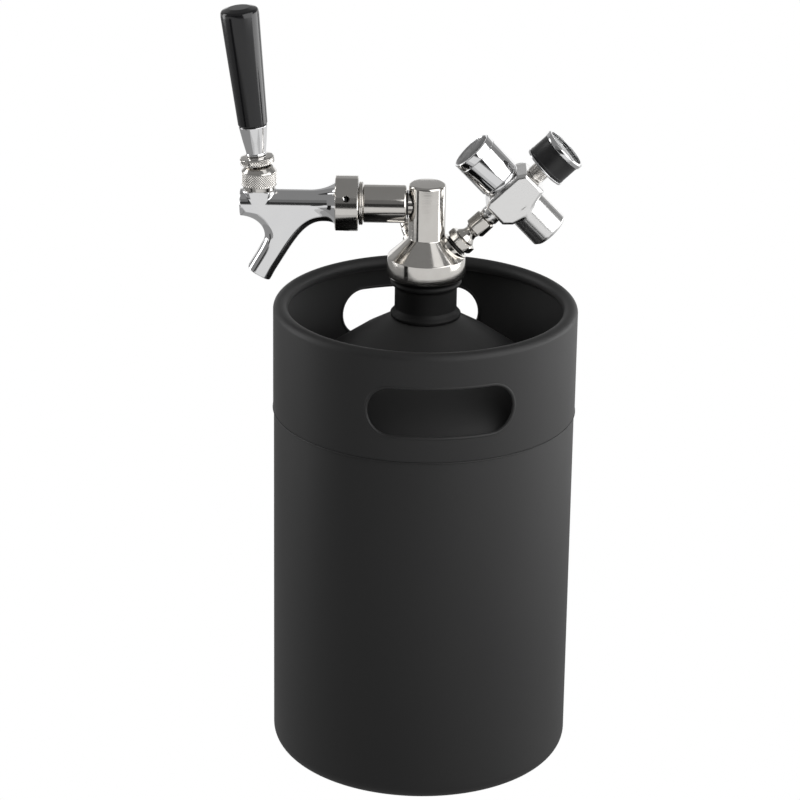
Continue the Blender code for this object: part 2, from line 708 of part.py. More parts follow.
# ---------------------------------------------------------------- regulator
def make_regulator_body():
    """Faceted block with the cartridge socket, the spring housing and a plugged rear boss."""
    block = [
        (-0.0195, 0.0075),
        (-0.0020, 0.0106),
        (0.0172, 0.0085),
        (0.0172, -0.0085),
        (-0.0020, -0.0140),
        (-0.0195, -0.0095),
    ]
    body = plate("regulator_body", block[::-1], 0.0262, AT_BODY)
    bevel = body.modifiers.new("edges", "BEVEL")
    bevel.width = 0.0026
    bevel.segments = 2
    bevel.limit_method = "ANGLE"
    bevel.angle_limit = math.radians(50)
    rear = axis_frame(AT_BODY @ Vector((0.0090, 0.0020, 0)), -FACE_AXIS, UP)
    for joined in (
        bar("spring_boss", 0.0124, 0.0020, 0.0110, AT_KNOB, ROUND_MEDIUM),
        as_cutter(turned_object("socket_wall", socket_profile(), AT_SOCKET, ROUND_MEDIUM)),
        bar("rear_boss", 0.0078, 0.0100, 0.0176, rear, ROUND_SMALL),
    ):
        boolean(body, joined, "UNION")
    for cutter in (
        bar("spring_bore", 0.0093, 0.0014, 0.0300, AT_KNOB, ROUND_SMALL),
        bar("socket_bore", SOCKET_BORE_R, 0.0170, 0.0500, AT_SOCKET, ROUND_SMALL),
        bar("pin_bore", 0.0019, -0.0030, 0.0200, AT_SOCKET, 10),
        bar("tail_bore_u", 0.0039, -0.0300, -0.0100, AT_INLET, 12),
        bar("gauge_bore", 0.0048, 0.0100, 0.0300, AT_INLET, 16),
        bar("through_bore", 0.0011, -0.0150, 0.0150, AT_INLET, 8),
        bar("plug_bore", 0.0040, 0.0130, 0.0250, rear, 12),
    ):
        boolean(body, cutter, "DIFFERENCE")
    plug = hexagon("burst_disc_plug", 0.0062, 0.0179, 0.0205, rear, STEEL, 0.0004)
    boolean(plug, bar("plug_stud", 0.0036, 0.0145, 0.0190, rear, 12), "UNION")
    return finish(body, CAST)


def socket_profile():
    end = 0.0340
    return [
        (0, end),
        (SOCKET_R - 0.0016, end),
        (SOCKET_R, end - 0.0016),
        (SOCKET_R, 0.0080),
        (0, 0.0080),
    ]


def make_cartridge_seat():
    """The seal and the hollow pin that pierces a gas cartridge screwed into the socket."""
    ring("cartridge_seal", 0.0092, 0.0048, 0.0173, 0.0191, AT_SOCKET, ROUND_SMALL, RUBBER)
    pin = [
        (0.0004, 0.0232),
        (0.0015, 0.0208),
        (0.0015, 0.0195),
        (0.0042, 0.0192),
        (0.0042, 0.0173),
        (0.0016, 0.0173),
        (0.0016, 0.0040),
        (0.0003, 0.0040),
    ]
    turned("piercing_pin", pin, AT_SOCKET, 12, STEEL)


def make_pressure_adjuster():
    """Spring bonnet, diaphragm, spring, thrust button and the screw-down knob."""
    bonnet = [
        (0.0090, 0.0280),
        (0.0090, 0.0137),
        (0.0130, 0.0137),
        (0.0133, 0.0134),
        (0.0133, 0.0116),
        (0.0130, 0.0113),
        (0.0090, 0.0113),
        (0.0090, 0.0029),
        (0.0068, 0.0029),
        (0.0068, 0.0280),
    ]
    turned("spring_bonnet", bonnet, AT_KNOB, ROUND_MEDIUM, CHROME)
    turned("diaphragm", [(0, 0.0026), (0.0089, 0.0026), (0.0089, 0.0018), (0, 0.0018)],
           AT_KNOB, ROUND_SMALL, RUBBER)
    coil("adjust_spring", 0.0050, 0.0006, 0.0036, 0.0182, 6, AT_KNOB, STEEL)
    button = [(0, 0.0215), (0.0020, 0.0215), (0.0064, 0.0205), (0.0064, 0.0191), (0, 0.0191)]
    turned("spring_button", button, AT_KNOB, ROUND_SMALL, STEEL)
    knob = [
        (0, 0.0396),
        (KNOB_R - 0.0014, 0.0396),
        (KNOB_R - 0.0010, 0.0400),
        (KNOB_R - 0.0004, 0.0400),
        (KNOB_R, 0.0395),
        (KNOB_R, 0.0145),
        (KNOB_R - 0.0004, 0.0140),
        (KNOB_R - 0.0016, 0.0140),
        (KNOB_R - 0.0016, 0.0372),
        (0.0026, 0.0372),
        (0.0026, 0.0224),
        (0, 0.0219),
    ]
    turned("adjust_knob", knob, AT_KNOB, ROUND_MEDIUM, CHROME)


def make_gauge():
    """Stem, back plate, case, tube movement, dial, needle, lens and bezel."""
    stem = [
        (0.0062, 0.0254),
        (0.0062, 0.0176),
        (0.0045, 0.0176),
        (0.0045, 0.0105),
        (0.0010, 0.0105),
        (0.0010, 0.0254),
    ]
    turned("gauge_stem", stem, AT_INLET, ROUND_SMALL, STEEL)
    ring("gauge_back_plate", GAUGE_R, 0.0014, 0.0257, 0.0271, AT_INLET, ROUND_MEDIUM, CHROME, 0.0004)
    case = [
        (0.0143, 0.0410),
        (0.0143, 0.0274),
        (0.0014, 0.0274),
        (0.0014, 0.0290),
        (0.0133, 0.0290),
        (0.0133, 0.0410),
    ]
    turned("gauge_case", case, AT_INLET, ROUND_MEDIUM, BLACK_COAT)
    tube = bpy.data.curves.new("bourdon_tube", "CURVE")
    tube.dimensions = "3D"
    tube.bevel_depth = 0.0012
    tube.bevel_resolution = 1
    tube.use_fill_caps = True
    spline = tube.splines.new("POLY")
    route = arc((0, 0), 0.0088, -60, 200, 14)
    spline.points.add(len(route) - 1)
    for point, (x, y) in zip(spline.points, route):
        point.co = (x, y, 0.0330, 1)
    movement = bpy.data.objects.new("bourdon_tube", tube)
    movement.matrix_world = AT_INLET
    finish(movement, STEEL, 0)
    ring("gauge_dial", 0.0131, 0.0011, 0.0385, 0.0391, AT_INLET, ROUND_MEDIUM, DIAL)
    needle = [(0.0005, 0.0098), (-0.0005, 0.0098), (-0.0009, -0.0030), (0.0009, -0.0030)]
    pointer = plate("gauge_needle", needle, 0.0003, AT_INLET @ needle_rest())
    boolean(pointer, bar("needle_spindle", 0.0008, 0.0360, 0.0402, AT_INLET, 10), "UNION")
    finish(pointer, BLACK_COAT, 0)
    turned("gauge_lens", [(0, 0.0431), (0.0139, 0.0431), (0.0139, 0.0421), (0, 0.0421)],
           AT_INLET, ROUND_MEDIUM, GLASS)
    bezel = [
        (0.0142, 0.0446),
        (0.0151, 0.0440),
        (0.0151, 0.0413),
        (0.0136, 0.0413),
        (0.0136, 0.0418),
        (0.0142, 0.0418),
        (0.0142, 0.0434),
        (0.0131, 0.0434),
        (0.0131, 0.0446),
    ]
    turned("gauge_bezel", bezel, AT_INLET, ROUND_MEDIUM, CHROME)


def needle_rest():
    """The needle's place in front of the dial, pointing at zero."""
    return Matrix.Translation((0, 0, 0.0398)) @ Matrix.Rotation(math.radians(225), 4, "Z")


# ---------------------------------------------------------------- relief valve
def make_relief_valve():
    """A small spring-loaded relief valve at the back of the cone, lifted by its cap."""
    body = [
        (0.0052, 0.0075),
        (0.0052, 0.0012),
        (0.0033, 0.0009),
        (0.0033, -0.0050),
        (0.0012, -0.0050),
        (0.0012, -0.0030),
        (0.0024, -0.0020),
        (0.0024, 0.0053),
        (0.0014, 0.0053),
        (0.0014, 0.0075),
    ]
    turned("relief_body", body, AT_RELIEF, ROUND_SMALL, STEEL)
    coil("relief_spring", 0.0017, 0.00025, -0.0008, 0.0047, 5, AT_RELIEF, STEEL)
    cap = [
        (0.0038, 0.0118),
        (0.0046, 0.0112),
        (0.0046, 0.0082),
        (0.0042, 0.0078),
        (0.0010, 0.0078),
        (0.0010, -0.0014),
        (0.0020, -0.0014),
        (0.0020, -0.0020),
        (0, -0.0027),
    ]
    turned("relief_cap", [(0, 0.0118)] + cap, AT_RELIEF, ROUND_SMALL, STEEL)


make_keg()
make_head_gasket()
make_tap_head_body()
make_dip_tube()
make_shank()
make_coupling_nut()
make_faucet_body()
make_bonnet()
make_lever()
make_plunger()
make_gas_inlet()
make_regulator_body()
make_cartridge_seat()
make_pressure_adjuster()
make_gauge()
make_relief_valve()
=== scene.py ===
"""Looks of the mini beer keg: detailed pieces, procedural materials, light and camera.

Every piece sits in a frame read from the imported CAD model: a turned piece has its
own axis, and its heights and radii are in metres along and across that axis.
"""

import json
import math

import bmesh
import bpy
import numpy as np
from mathutils import Matrix, Vector


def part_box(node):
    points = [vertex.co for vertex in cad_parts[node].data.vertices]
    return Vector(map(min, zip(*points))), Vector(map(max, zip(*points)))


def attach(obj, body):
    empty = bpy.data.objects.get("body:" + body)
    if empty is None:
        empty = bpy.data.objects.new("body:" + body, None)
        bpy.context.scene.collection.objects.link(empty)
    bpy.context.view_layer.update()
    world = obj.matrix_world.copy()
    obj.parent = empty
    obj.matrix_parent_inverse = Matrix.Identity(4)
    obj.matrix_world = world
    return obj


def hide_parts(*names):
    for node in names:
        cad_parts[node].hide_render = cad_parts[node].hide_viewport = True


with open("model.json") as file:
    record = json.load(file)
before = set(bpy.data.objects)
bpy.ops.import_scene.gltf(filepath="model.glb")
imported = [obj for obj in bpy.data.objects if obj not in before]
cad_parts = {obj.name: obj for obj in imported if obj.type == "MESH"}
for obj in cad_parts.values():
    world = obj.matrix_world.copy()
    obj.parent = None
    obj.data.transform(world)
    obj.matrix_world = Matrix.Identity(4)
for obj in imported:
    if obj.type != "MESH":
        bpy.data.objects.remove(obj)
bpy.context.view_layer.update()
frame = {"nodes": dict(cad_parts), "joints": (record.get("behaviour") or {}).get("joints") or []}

UP = Vector((0, 0, 1))


# ---------------------------------------------------------------- frames from the CAD


def axis_frame(origin, direction, side=(0, 1, 0)):
    """Matrix whose +Z runs along direction, with +X as near to side as it can be."""
    z = Vector(direction).normalized()
    y = z.cross(Vector(side)).normalized()
    made = Matrix((y.cross(z), y, z)).transposed().to_4x4()
    made.translation = origin
    return made


def joint(name):
    """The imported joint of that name, with its axis and its place as vectors."""
    found = next(j for j in frame["joints"] if j["name"] == name)
    return Vector(found.get("pos_m", (0, 0, 0))), Vector(found["axis"]).normalized()


def along(node, at):
    """(lowest, highest, largest radius) of a CAD node in the frame at."""
    inverse = at.inverted()
    points = [inverse @ v.co for v in frame["nodes"][node].data.vertices]
    heights = [p.z for p in points]
    return min(heights), max(heights), max(math.hypot(p.x, p.y) for p in points)


REGULATOR_AT, INLET_AXIS = joint("regulator_swivel")
KNOB_AXIS = joint("knob_turn")[1]
FACE_AXIS = INLET_AXIS.cross(KNOB_AXIS)
LEVER_AT = joint("lever_pull")[0]
SHANK_Z = joint("coupling_nut_turn")[0].z
HANDLE_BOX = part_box("tap_handle")
HANDLE_MIDDLE = Vector(
    ((HANDLE_BOX[0].x + HANDLE_BOX[1].x) / 2, 0, (HANDLE_BOX[0].z + HANDLE_BOX[1].z) / 2)
)
LEVER_AXIS = (HANDLE_MIDDLE - LEVER_AT).normalized()
RELIEF_AXIS = joint("relief_lift")[1]

AT_KEG = axis_frame((0, 0, 0), UP, (1, 0, 0))
AT_SHANK = axis_frame((0, 0, SHANK_Z), (-1, 0, 0))
AT_BONNET = axis_frame((LEVER_AT.x, 0, 0), UP, (1, 0, 0))
AT_LEVER = axis_frame(LEVER_AT, LEVER_AXIS)
AT_INLET = axis_frame(REGULATOR_AT, INLET_AXIS, FACE_AXIS)
AT_KNOB = axis_frame(REGULATOR_AT, KNOB_AXIS, FACE_AXIS)
AT_SOCKET = axis_frame(REGULATOR_AT, -KNOB_AXIS, FACE_AXIS)
AT_BODY = Matrix((INLET_AXIS, KNOB_AXIS, FACE_AXIS)).transposed().to_4x4()
AT_BODY.translation = REGULATOR_AT


# ---------------------------------------------------------------- mesh tools


def put(mesh, name, at, surface, body, *nodes):
    """Makes mesh a smooth piece in the frame at, riding on body and standing for nodes."""
    piece = bpy.data.objects.new(name, mesh)
    bpy.context.scene.collection.objects.link(piece)
    piece.matrix_world = at
    mesh.materials.clear()
    mesh.materials.append(surface)
    mesh.shade_smooth()
    mesh.set_sharp_from_angle(angle=math.radians(38))
    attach(piece, body)
    if nodes:
        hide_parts(*nodes)
    return piece


def rounded(profile, radius=0.0004, count=3):
    """The open profile with its corners rounded; a point may carry its own radius."""
    points = [Vector(p[:2]) for p in profile]
    radii = [p[2] if len(p) > 2 else radius for p in profile]
    made = [points[0]]
    for before, here, after, r in zip(points, points[1:], points[2:], radii[1:-1]):
        back, on = before - here, after - here
        turn = back.angle(on, 0.0)
        if r <= 0 or turn == 0 or turn > math.radians(172):
            made.append(here)
            continue
        cut = min(r / math.tan(turn / 2), 0.45 * back.length, 0.45 * on.length)
        start, end = here + back.normalized() * cut, here + on.normalized() * cut
        for i in range(count + 1):
            t = i / count
            made.append(start * (1 - t) ** 2 + here * 2 * t * (1 - t) + end * t * t)
    made.append(points[-1])
    return [(p.x, p.y) for p in made]


def finished(made, name):
    """Turns a bmesh into a mesh whose faces all look outward."""
    bmesh.ops.recalc_face_normals(made, faces=made.faces)
    mesh = bpy.data.meshes.new(name)
    made.to_mesh(mesh)
    made.free()
    return mesh


def lathe_mesh(name, profile, steps):
    """A profile of (radius, height) turned about Z; a closed one joins end to start."""
    made = bmesh.new()
    rows = []
    for r, z in profile:
        if r < 1e-7:
            rows.append([made.verts.new((0, 0, z))] * steps)
        else:
            turn = [2 * math.pi * i / steps for i in range(steps)]
            rows.append([made.verts.new((r * math.cos(a), r * math.sin(a), z)) for a in turn])
    for low, high in zip(rows, rows[1:]):
        for i in range(steps):
            j = (i + 1) % steps
            corners = [low[i], low[j], high[j], high[i]]
            unique = [v for k, v in enumerate(corners) if v is not corners[k - 1]]
            if len(unique) > 2:
                made.faces.new(unique)
    return finished(made, name)


def closed(profile):
    """Joins a profile's end to its start."""
    return profile + [profile[0]]


def lathe(name, profile, at, surface, body, *nodes, steps=96):
    return put(lathe_mesh(name, profile, steps), name, at, surface, body, *nodes)


def ring(name, outer, inner, low, high, at, surface, body, *nodes, edge=0.0003, steps=96):
    """A flat ring with rounded edges."""
    middle = (low + high) / 2
    shape = [(outer, middle), (outer, high), (inner, high), (inner, low), (outer, low), (outer, middle)]
    return lathe(name, rounded(shape, edge), at, surface, body, *nodes, steps=steps)


def arc(centre, radius, start, end, count):
    """Points of an arc in the profile plane, angles in degrees from +R towards +Z."""
    angles = [math.radians(start + (end - start) * i / count) for i in range(count + 1)]
    return [(centre[0] + radius * math.cos(a), centre[1] + radius * math.sin(a)) for a in angles]


def tube_mesh(name, path, radius, cyclic=False, sides=12):
    """A round bar swept along a path of points."""
    curve = bpy.data.curves.new(name, "CURVE")
    curve.dimensions = "3D"
    curve.bevel_depth = radius
    curve.bevel_resolution = sides // 4
    curve.use_fill_caps = not cyclic
    spline = curve.splines.new("POLY")
    spline.points.add(len(path) - 1)
    for point, co in zip(spline.points, path):
        point.co = (*co, 1)
    spline.use_cyclic_u = cyclic
    guide = bpy.data.objects.new(name + "_path", curve)
    bpy.context.scene.collection.objects.link(guide)
    bpy.context.view_layer.update()
    mesh = bpy.data.meshes.new_from_object(guide.evaluated_get(bpy.context.evaluated_depsgraph_get()))
    bpy.data.objects.remove(guide)
    return mesh


def applied(mesh_object):
    """The object's mesh with its modifiers applied; the object itself goes."""
    bpy.context.view_layer.update()
    evaluated = mesh_object.evaluated_get(bpy.context.evaluated_depsgraph_get())
    mesh = bpy.data.meshes.new_from_object(evaluated)
    bpy.data.objects.remove(mesh_object)
    return mesh


def loose(mesh, at=None):
    """A helper object for a mesh that is worked on before it becomes a piece."""
    helper = bpy.data.objects.new(mesh.name, mesh)
    bpy.context.scene.collection.objects.link(helper)
    if at is not None:
        helper.matrix_world = at
    return helper


def surface_of(name, **sockets):
    """A Principled material; constants go straight on the shader's own sockets."""
    made = bpy.data.materials.new(name)
    made.use_nodes = True
    nodes = made.node_tree.nodes
    shader = nodes["Principled BSDF"]
    for key, value in sockets.items():
        shader.inputs[key.replace("_", " ")].default_value = value
    return made, nodes, made.node_tree.links, shader


def noise(nodes, links, scale, detail=3.0, stretch=None):
    """Object-space noise; stretch squeezes it along the piece's own axes."""
    place = nodes.new("ShaderNodeTexCoord")
    texture = nodes.new("ShaderNodeTexNoise")
    texture.inputs["Scale"].default_value = scale
    texture.inputs["Detail"].default_value = detail
    source = place.outputs["Object"]
    if stretch:
        mapping = nodes.new("ShaderNodeMapping")
        mapping.inputs["Scale"].default_value = stretch
        links.new(source, mapping.inputs["Vector"])
        source = mapping.outputs["Vector"]
    links.new(source, texture.inputs["Vector"])
    return texture.outputs["Fac"]


def remap(nodes, links, source, low, high, start=0.3, end=0.7):
    """source from start to end becomes low to high."""
    step = nodes.new("ShaderNodeMapRange")
    step.inputs["From Min"].default_value = start
    step.inputs["From Max"].default_value = end
    step.inputs["To Min"].default_value = low
    step.inputs["To Max"].default_value = high
    links.new(source, step.inputs["Value"])
    return step.outputs["Result"]


def mix_colour(nodes, links, factor, first, second):
    step = nodes.new("ShaderNodeMix")
    step.data_type = "RGBA"
    step.inputs["A"].default_value = (*first, 1)
    step.inputs["B"].default_value = (*second, 1)
    links.new(factor, step.inputs["Factor"])
    return step.outputs["Result"]


def bump(nodes, links, height, distance, strength=1.0, under=None):
    step = nodes.new("ShaderNodeBump")
    step.inputs["Distance"].default_value = distance
    step.inputs["Strength"].default_value = strength
    links.new(height, step.inputs["Height"])
    if under is not None:
        links.new(under, step.inputs["Normal"])
    return step.outputs["Normal"]


def tint(nodes, links, shader, cloud, first, second, smooth, rough):
    """Lets a texture carry the colour from first to second and the roughness from smooth to rough."""
    colour = mix_colour(nodes, links, cloud, first, second)
    links.new(colour, shader.inputs["Base Color"])
    links.new(remap(nodes, links, cloud, smooth, rough), shader.inputs["Roughness"])


def powder_coat(name="black_powder_coat", gloss=0.42, level=1.0):
    """Fine-textured black powder coat: orange peel, a finer grain and faint handling marks."""
    made, nodes, links, shader = surface_of(name, Specular_IOR_Level=gloss)
    cloud = noise(nodes, links, 16, 4)
    peel = noise(nodes, links, 900, 2)
    grain = noise(nodes, links, 3200, 2)
    # level scales the colour down: below 1 it makes a darker copy of the same coat, painted shade
    first = [level * c for c in (0.0150, 0.0150, 0.0156)]
    second = [level * c for c in (0.0195, 0.0193, 0.0190)]
    tint(nodes, links, shader, cloud, first, second, 0.50, 0.56)
    dented = bump(nodes, links, peel, 0.00004, 0.30)
    links.new(bump(nodes, links, grain, 0.00002, 0.30, dented), shader.inputs["Normal"])
    return made


def turned_stainless():
    """Stainless off the lathe: fine rings about the piece's own axis and a stretched gleam."""
    made, nodes, links, shader = surface_of(
        "turned_stainless", Metallic=1.0, Anisotropic=0.4
    )
    rings = noise(nodes, links, 60, 3, (1, 1, 90))
    smear = noise(nodes, links, 120, 3)
    colour = mix_colour(nodes, links, smear, (0.66, 0.635, 0.60), (0.74, 0.72, 0.69))
    links.new(colour, shader.inputs["Base Color"])
    links.new(remap(nodes, links, rings, 0.07, 0.14), shader.inputs["Roughness"])
    tangent = nodes.new("ShaderNodeTangent")
    tangent.direction_type = "RADIAL"
    tangent.axis = "Z"
    links.new(tangent.outputs["Tangent"], shader.inputs["Tangent"])
    links.new(bump(nodes, links, rings, 0.00002, 0.5), shader.inputs["Normal"])
    return made


def polished_chrome():
    """Plated and buffed: almost a mirror, with faint polishing haze."""
    made, nodes, links, shader = surface_of("polished_chrome", Metallic=1.0)
    haze = noise(nodes, links, 90, 4)
    tint(nodes, links, shader, haze, (0.80, 0.80, 0.81), (0.86, 0.86, 0.86), 0.04, 0.09)
    links.new(bump(nodes, links, noise(nodes, links, 140, 2), 0.00003, 0.25), shader.inputs["Normal"])
    return made


def satin_die_cast():
    """Satin nickel over a casting: soft gleam with a fine blasted grain."""
    made, nodes, links, shader = surface_of("satin_die_cast", Metallic=1.0)
    cloud = noise(nodes, links, 70, 4)
    grain = noise(nodes, links, 2600, 2)
    tint(nodes, links, shader, cloud, (0.86, 0.855, 0.845), (0.92, 0.915, 0.91), 0.16, 0.22)
    links.new(bump(nodes, links, grain, 0.00002, 0.35), shader.inputs["Normal"])
    return made


def black_rubber():
    made, nodes, links, shader = surface_of("black_rubber", Specular_IOR_Level=0.5)
    cloud = noise(nodes, links, 400, 3)
    tint(nodes, links, shader, cloud, (0.012, 0.012, 0.012), (0.022, 0.022, 0.022), 0.38, 0.55)
    links.new(bump(nodes, links, cloud, 0.00003, 0.3), shader.inputs["Normal"])
    return made


def black_plastic():
    """Moulded gloss black: deep, with very faint flow marks and dust-fine wear."""
    made, nodes, links, shader = surface_of("black_plastic", Specular_IOR_Level=0.55)
    flow = noise(nodes, links, 40, 3, (1, 1, 0.3))
    tint(nodes, links, shader, flow, (0.006, 0.006, 0.007), (0.011, 0.011, 0.012), 0.10, 0.20)
    links.new(bump(nodes, links, noise(nodes, links, 220, 2), 0.00002, 0.2), shader.inputs["Normal"])
    return made


def white_seal():
    made, nodes, links, shader = surface_of("white_seal", Subsurface_Weight=0.15)
    cloud = noise(nodes, links, 300, 3)
    tint(nodes, links, shader, cloud, (0.74, 0.73, 0.69), (0.82, 0.81, 0.78), 0.45, 0.60)
    return made


def printed_dial():
    """A matte printed dial plate."""
    made, nodes, links, shader = surface_of("printed_dial")
    fleck = noise(nodes, links, 1500, 2)
    tint(nodes, links, shader, fleck, (0.70, 0.71, 0.72), (0.78, 0.79, 0.79), 0.48, 0.60)
    return made


def dial_ink():
    made, nodes, links, shader = surface_of("dial_ink")
    fleck = noise(nodes, links, 2000, 2)
    tint(nodes, links, shader, fleck, (0.070, 0.070, 0.075), (0.110, 0.110, 0.112), 0.50, 0.65)
    return made


def satin_enamel():
    """The gauge case's baked black enamel."""
    made, nodes, links, shader = surface_of("satin_enamel", Specular_IOR_Level=0.5)
    cloud = noise(nodes, links, 180, 3)
    tint(nodes, links, shader, cloud, (0.010, 0.010, 0.011), (0.018, 0.018, 0.018), 0.30, 0.42)
    links.new(bump(nodes, links, noise(nodes, links, 1800, 2), 0.00002, 0.3), shader.inputs["Normal"])
    return made


def gauge_lens():
    """Clear lens, with a trace of smudge in its gloss."""
    made, nodes, links, shader = surface_of(
        "gauge_lens", Base_Color=(0.95, 0.97, 0.97, 1), Transmission_Weight=1.0, IOR=1.47
    )
    smudge = noise(nodes, links, 120, 3)
    links.new(remap(nodes, links, smudge, 0.01, 0.06), shader.inputs["Roughness"])
    return made


COAT = powder_coat()
# The neck's copy of the powder coat is painted darker (colour scaled to 0.3) and less glossy: painted shade
# for the neck down in the shadow of the rolled rim
NECK_PAINTED_SHADE_COAT = powder_coat("black_powder_coat_neck_painted_shade", 0.22, 0.3)
STEEL = turned_stainless()
CHROME = polished_chrome()
CAST = satin_die_cast()
RUBBER = black_rubber()
PLASTIC = black_plastic()
SEAL = white_seal()
DIAL = printed_dial()
INK = dial_ink()
ENAMEL = satin_enamel()
LENS = gauge_lens()


# ---------------------------------------------------------------- keg
KEG_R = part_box("keg_shell")[1].x
SKIRT_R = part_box("handle_skirt")[1].x
SEAM_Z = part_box("keg_shell")[1].z
RIM_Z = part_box("handle_skirt")[1].z
SHEET = 0.0018
BASE_CORNER_R = 0.0108
BASE_RING_R = 0.0780
BASE_PANEL_Z = 0.0020
RIM_ROLL_R = 0.0047
SLOT_Z = 0.2702
SLOT_HEIGHT = 0.0322
SLOT_WIDTH = 0.0927
SLOT_TURN = math.radians(6.7)
LIP_R = 0.00125
ROUND = 192


def make_keg_wall():
    """Drawn cup with its rolled corner and pressed-in base, and the weld bead at the seam."""
    corner = (KEG_R - BASE_CORNER_R, BASE_CORNER_R)
    panel = [(0, BASE_PANEL_Z), (BASE_RING_R - BASE_PANEL_Z, BASE_PANEL_Z), (BASE_RING_R, 0)]
    outer = rounded(panel + [(corner[0] - 0.001, 0)], 0.0015, 6)
    outer += arc(corner, BASE_CORNER_R, -90, 0, 14)
    outer += rounded([(KEG_R, 0.03), (KEG_R, SEAM_Z), (KEG_R - SHEET, SEAM_Z), (KEG_R - SHEET, 0.2)])
    inner = arc(corner, BASE_CORNER_R - SHEET, 0, -90, 8)
    profile = outer + inner + [(0, BASE_PANEL_Z + SHEET)]
    lathe("keg_wall", profile, AT_KEG, COAT, "keg", "keg_shell", steps=ROUND)
    bead = arc((SKIRT_R - 0.00025, SEAM_Z - 0.0001), 0.00055, 0, 360, 12)
    lathe("seam_weld", bead, AT_KEG, COAT, "keg", steps=ROUND)


def slot_point(turn_x, height, radius, side):
    """A point of the slot's outline, wrapped on to the skirt at that radius."""
    angle = turn_x / SKIRT_R + SLOT_TURN
    return (
        side * radius * math.sin(angle),
        -side * radius * math.cos(angle),
        SLOT_Z + height,
    )


def slot_outline(width, height, count):
    """The slot's rounded outline, spread evenly along its straights and its ends."""
    r = height / 2
    half = width / 2 - r
    straight = [(-half + 2 * half * i / count, -r) for i in range(count)]
    outline = straight + arc((half, 0), r, -90, 90, count)[:-1]
    outline += [(-x, -z) for x, z in straight] + arc((-half, 0), r, 90, 270, count)[:-1]
    return outline


def cut_slots(skirt):
    """Cuts both hand slots through the skirt."""
    for side in (1, -1):
        outline = slot_outline(slot_arc_width(), SLOT_HEIGHT, 24)
        made = bmesh.new()
        shells = [
            [made.verts.new(slot_point(x, z, radius, side)) for x, z in outline]
            for radius in (0.8 * SKIRT_R, 1.1 * SKIRT_R)
        ]
        count = len(outline)
        for i in range(count):
            j = (i + 1) % count
            made.faces.new((shells[0][i], shells[0][j], shells[1][j], shells[1][i]))
        made.faces.new(shells[0])
        made.faces.new(shells[1])
        mesh = finished(made, "slot_cutter")
        cutter = loose(mesh)
        cutter.hide_render = True
        step = skirt.modifiers.new("slot", "BOOLEAN")
        step.object = cutter
        step.solver = "EXACT"
        cutters.append(cutter)


def slot_arc_width():
    """The slot's width along the skirt, from its straight width across."""
    return 2 * SKIRT_R * math.asin(SLOT_WIDTH / 2 / SKIRT_R)


cutters = []


def make_skirt():
    """Handle skirt: wall, rolled rim with its curled edge, and slots with rolled lips."""
    wall_in = SKIRT_R - SHEET
    centre = (SKIRT_R - RIM_ROLL_R, RIM_Z - RIM_ROLL_R)
    profile = [(SKIRT_R - 0.0004, SEAM_Z + 0.0003), (SKIRT_R, SEAM_Z + 0.0007)]
    profile += arc(centre, RIM_ROLL_R, 0, 232, 40)
    profile += arc(centre, RIM_ROLL_R - SHEET, 232, 0, 30)
    profile += [(wall_in, SEAM_Z + 0.0003), (SKIRT_R - 0.0004, SEAM_Z + 0.0003)]
    skirt = loose(lathe_mesh("skirt", profile, ROUND))
    cut_slots(skirt)
    mesh = applied(skirt)
    for cutter in cutters:
        bpy.data.objects.remove(cutter)
    put(mesh, "skirt", AT_KEG, COAT, "keg", "handle_skirt")
    outline = slot_outline(slot_arc_width() + LIP_R, SLOT_HEIGHT + LIP_R, 24)
    for side, label in ((1, "front"), (-1, "back")):
        path = [slot_point(x, z, SKIRT_R - SHEET / 2 - 0.0001, side) for x, z in outline]
        lip = tube_mesh(f"slot_lip_{label}", path, LIP_R, cyclic=True)
        put(lip, f"slot_lip_{label}", Matrix.Identity(4), COAT, "keg")


def make_dome():
    """Shoulder dome under the rim, and the neck welded through it."""
    low, high, edge = along("shoulder_dome", AT_KEG)
    dome = [
        (edge, low),
        (edge, 0.2490, 0.009),
        (edge - 0.0100, 0.2575, 0.006),
        (0.0420, 0.2880, 0.030),
        (0.0213, 0.3000, 0.004),
        (0.0202, high),
    ]
    under = [(r - 0.0012, z - 0.0014) for r, z in reversed(rounded(dome, 0.01, 10))]
    profile = closed(rounded(dome, 0.01, 10) + under)
    lathe("dome", profile, AT_KEG, COAT, "keg", "shoulder_dome", steps=ROUND)
    low, high, edge = along("neck_collar", AT_KEG)
    tube = 0.0199
    weld = [(tube, 0.2990), (tube + 0.0024, 0.3003, 0.001), (tube + 0.0028, 0.3022, 0.0012)]
    weld += [(tube + 0.0010, 0.3040, 0.001), (tube, 0.3062)]
    neck = weld + [(tube, high - 0.0060)]
    neck += [(tube + 0.0002, high - 0.0052, 0.0004)]
    neck += arc((edge - 0.0022, high - 0.0024), 0.0022, -75, 90, 14)
    neck += [(0.0170, high), (0.0165, high - 0.0006), (0.0165, low), (tube, low), (tube, 0.2990)]
    # The neck takes the darkened copy of the coat: painted shade
    lathe("neck", rounded(neck, 0.0003, 2), AT_KEG, NECK_PAINTED_SHADE_COAT, "keg", "neck_collar", steps=128)


make_keg_wall()
make_skirt()
make_dome()


# ---------------------------------------------------------------- tap head
COLUMN_R = 0.0117
PLUG_R = 0.0162
THREAD_PITCH = 0.0018
CAP_LOW = 0.3272
CAP_HIGH = 0.3406
CONE_HIGH = 0.3525


def with_cuts(mesh, at, *steps):
    """mesh in the frame at, joined with and cut by (operation, profile, frame) turned shapes."""
    base = loose(mesh, at)
    tools = []
    for operation, profile, where in steps:
        tool = loose(lathe_mesh("tool", profile, 64), where)
        tools.append(tool)
        step = base.modifiers.new("step", "BOOLEAN")
        step.operation = operation
        step.object = tool
        step.solver = "EXACT"
    made = applied(base)
    for tool in tools:
        bpy.data.objects.remove(tool)
    return made


def rod(radius, low, high, edge=0.0002):
    """Profile of a solid cylinder with rounded edges."""
    return rounded([(0, high), (radius, high), (radius, low), (0, low)], edge)


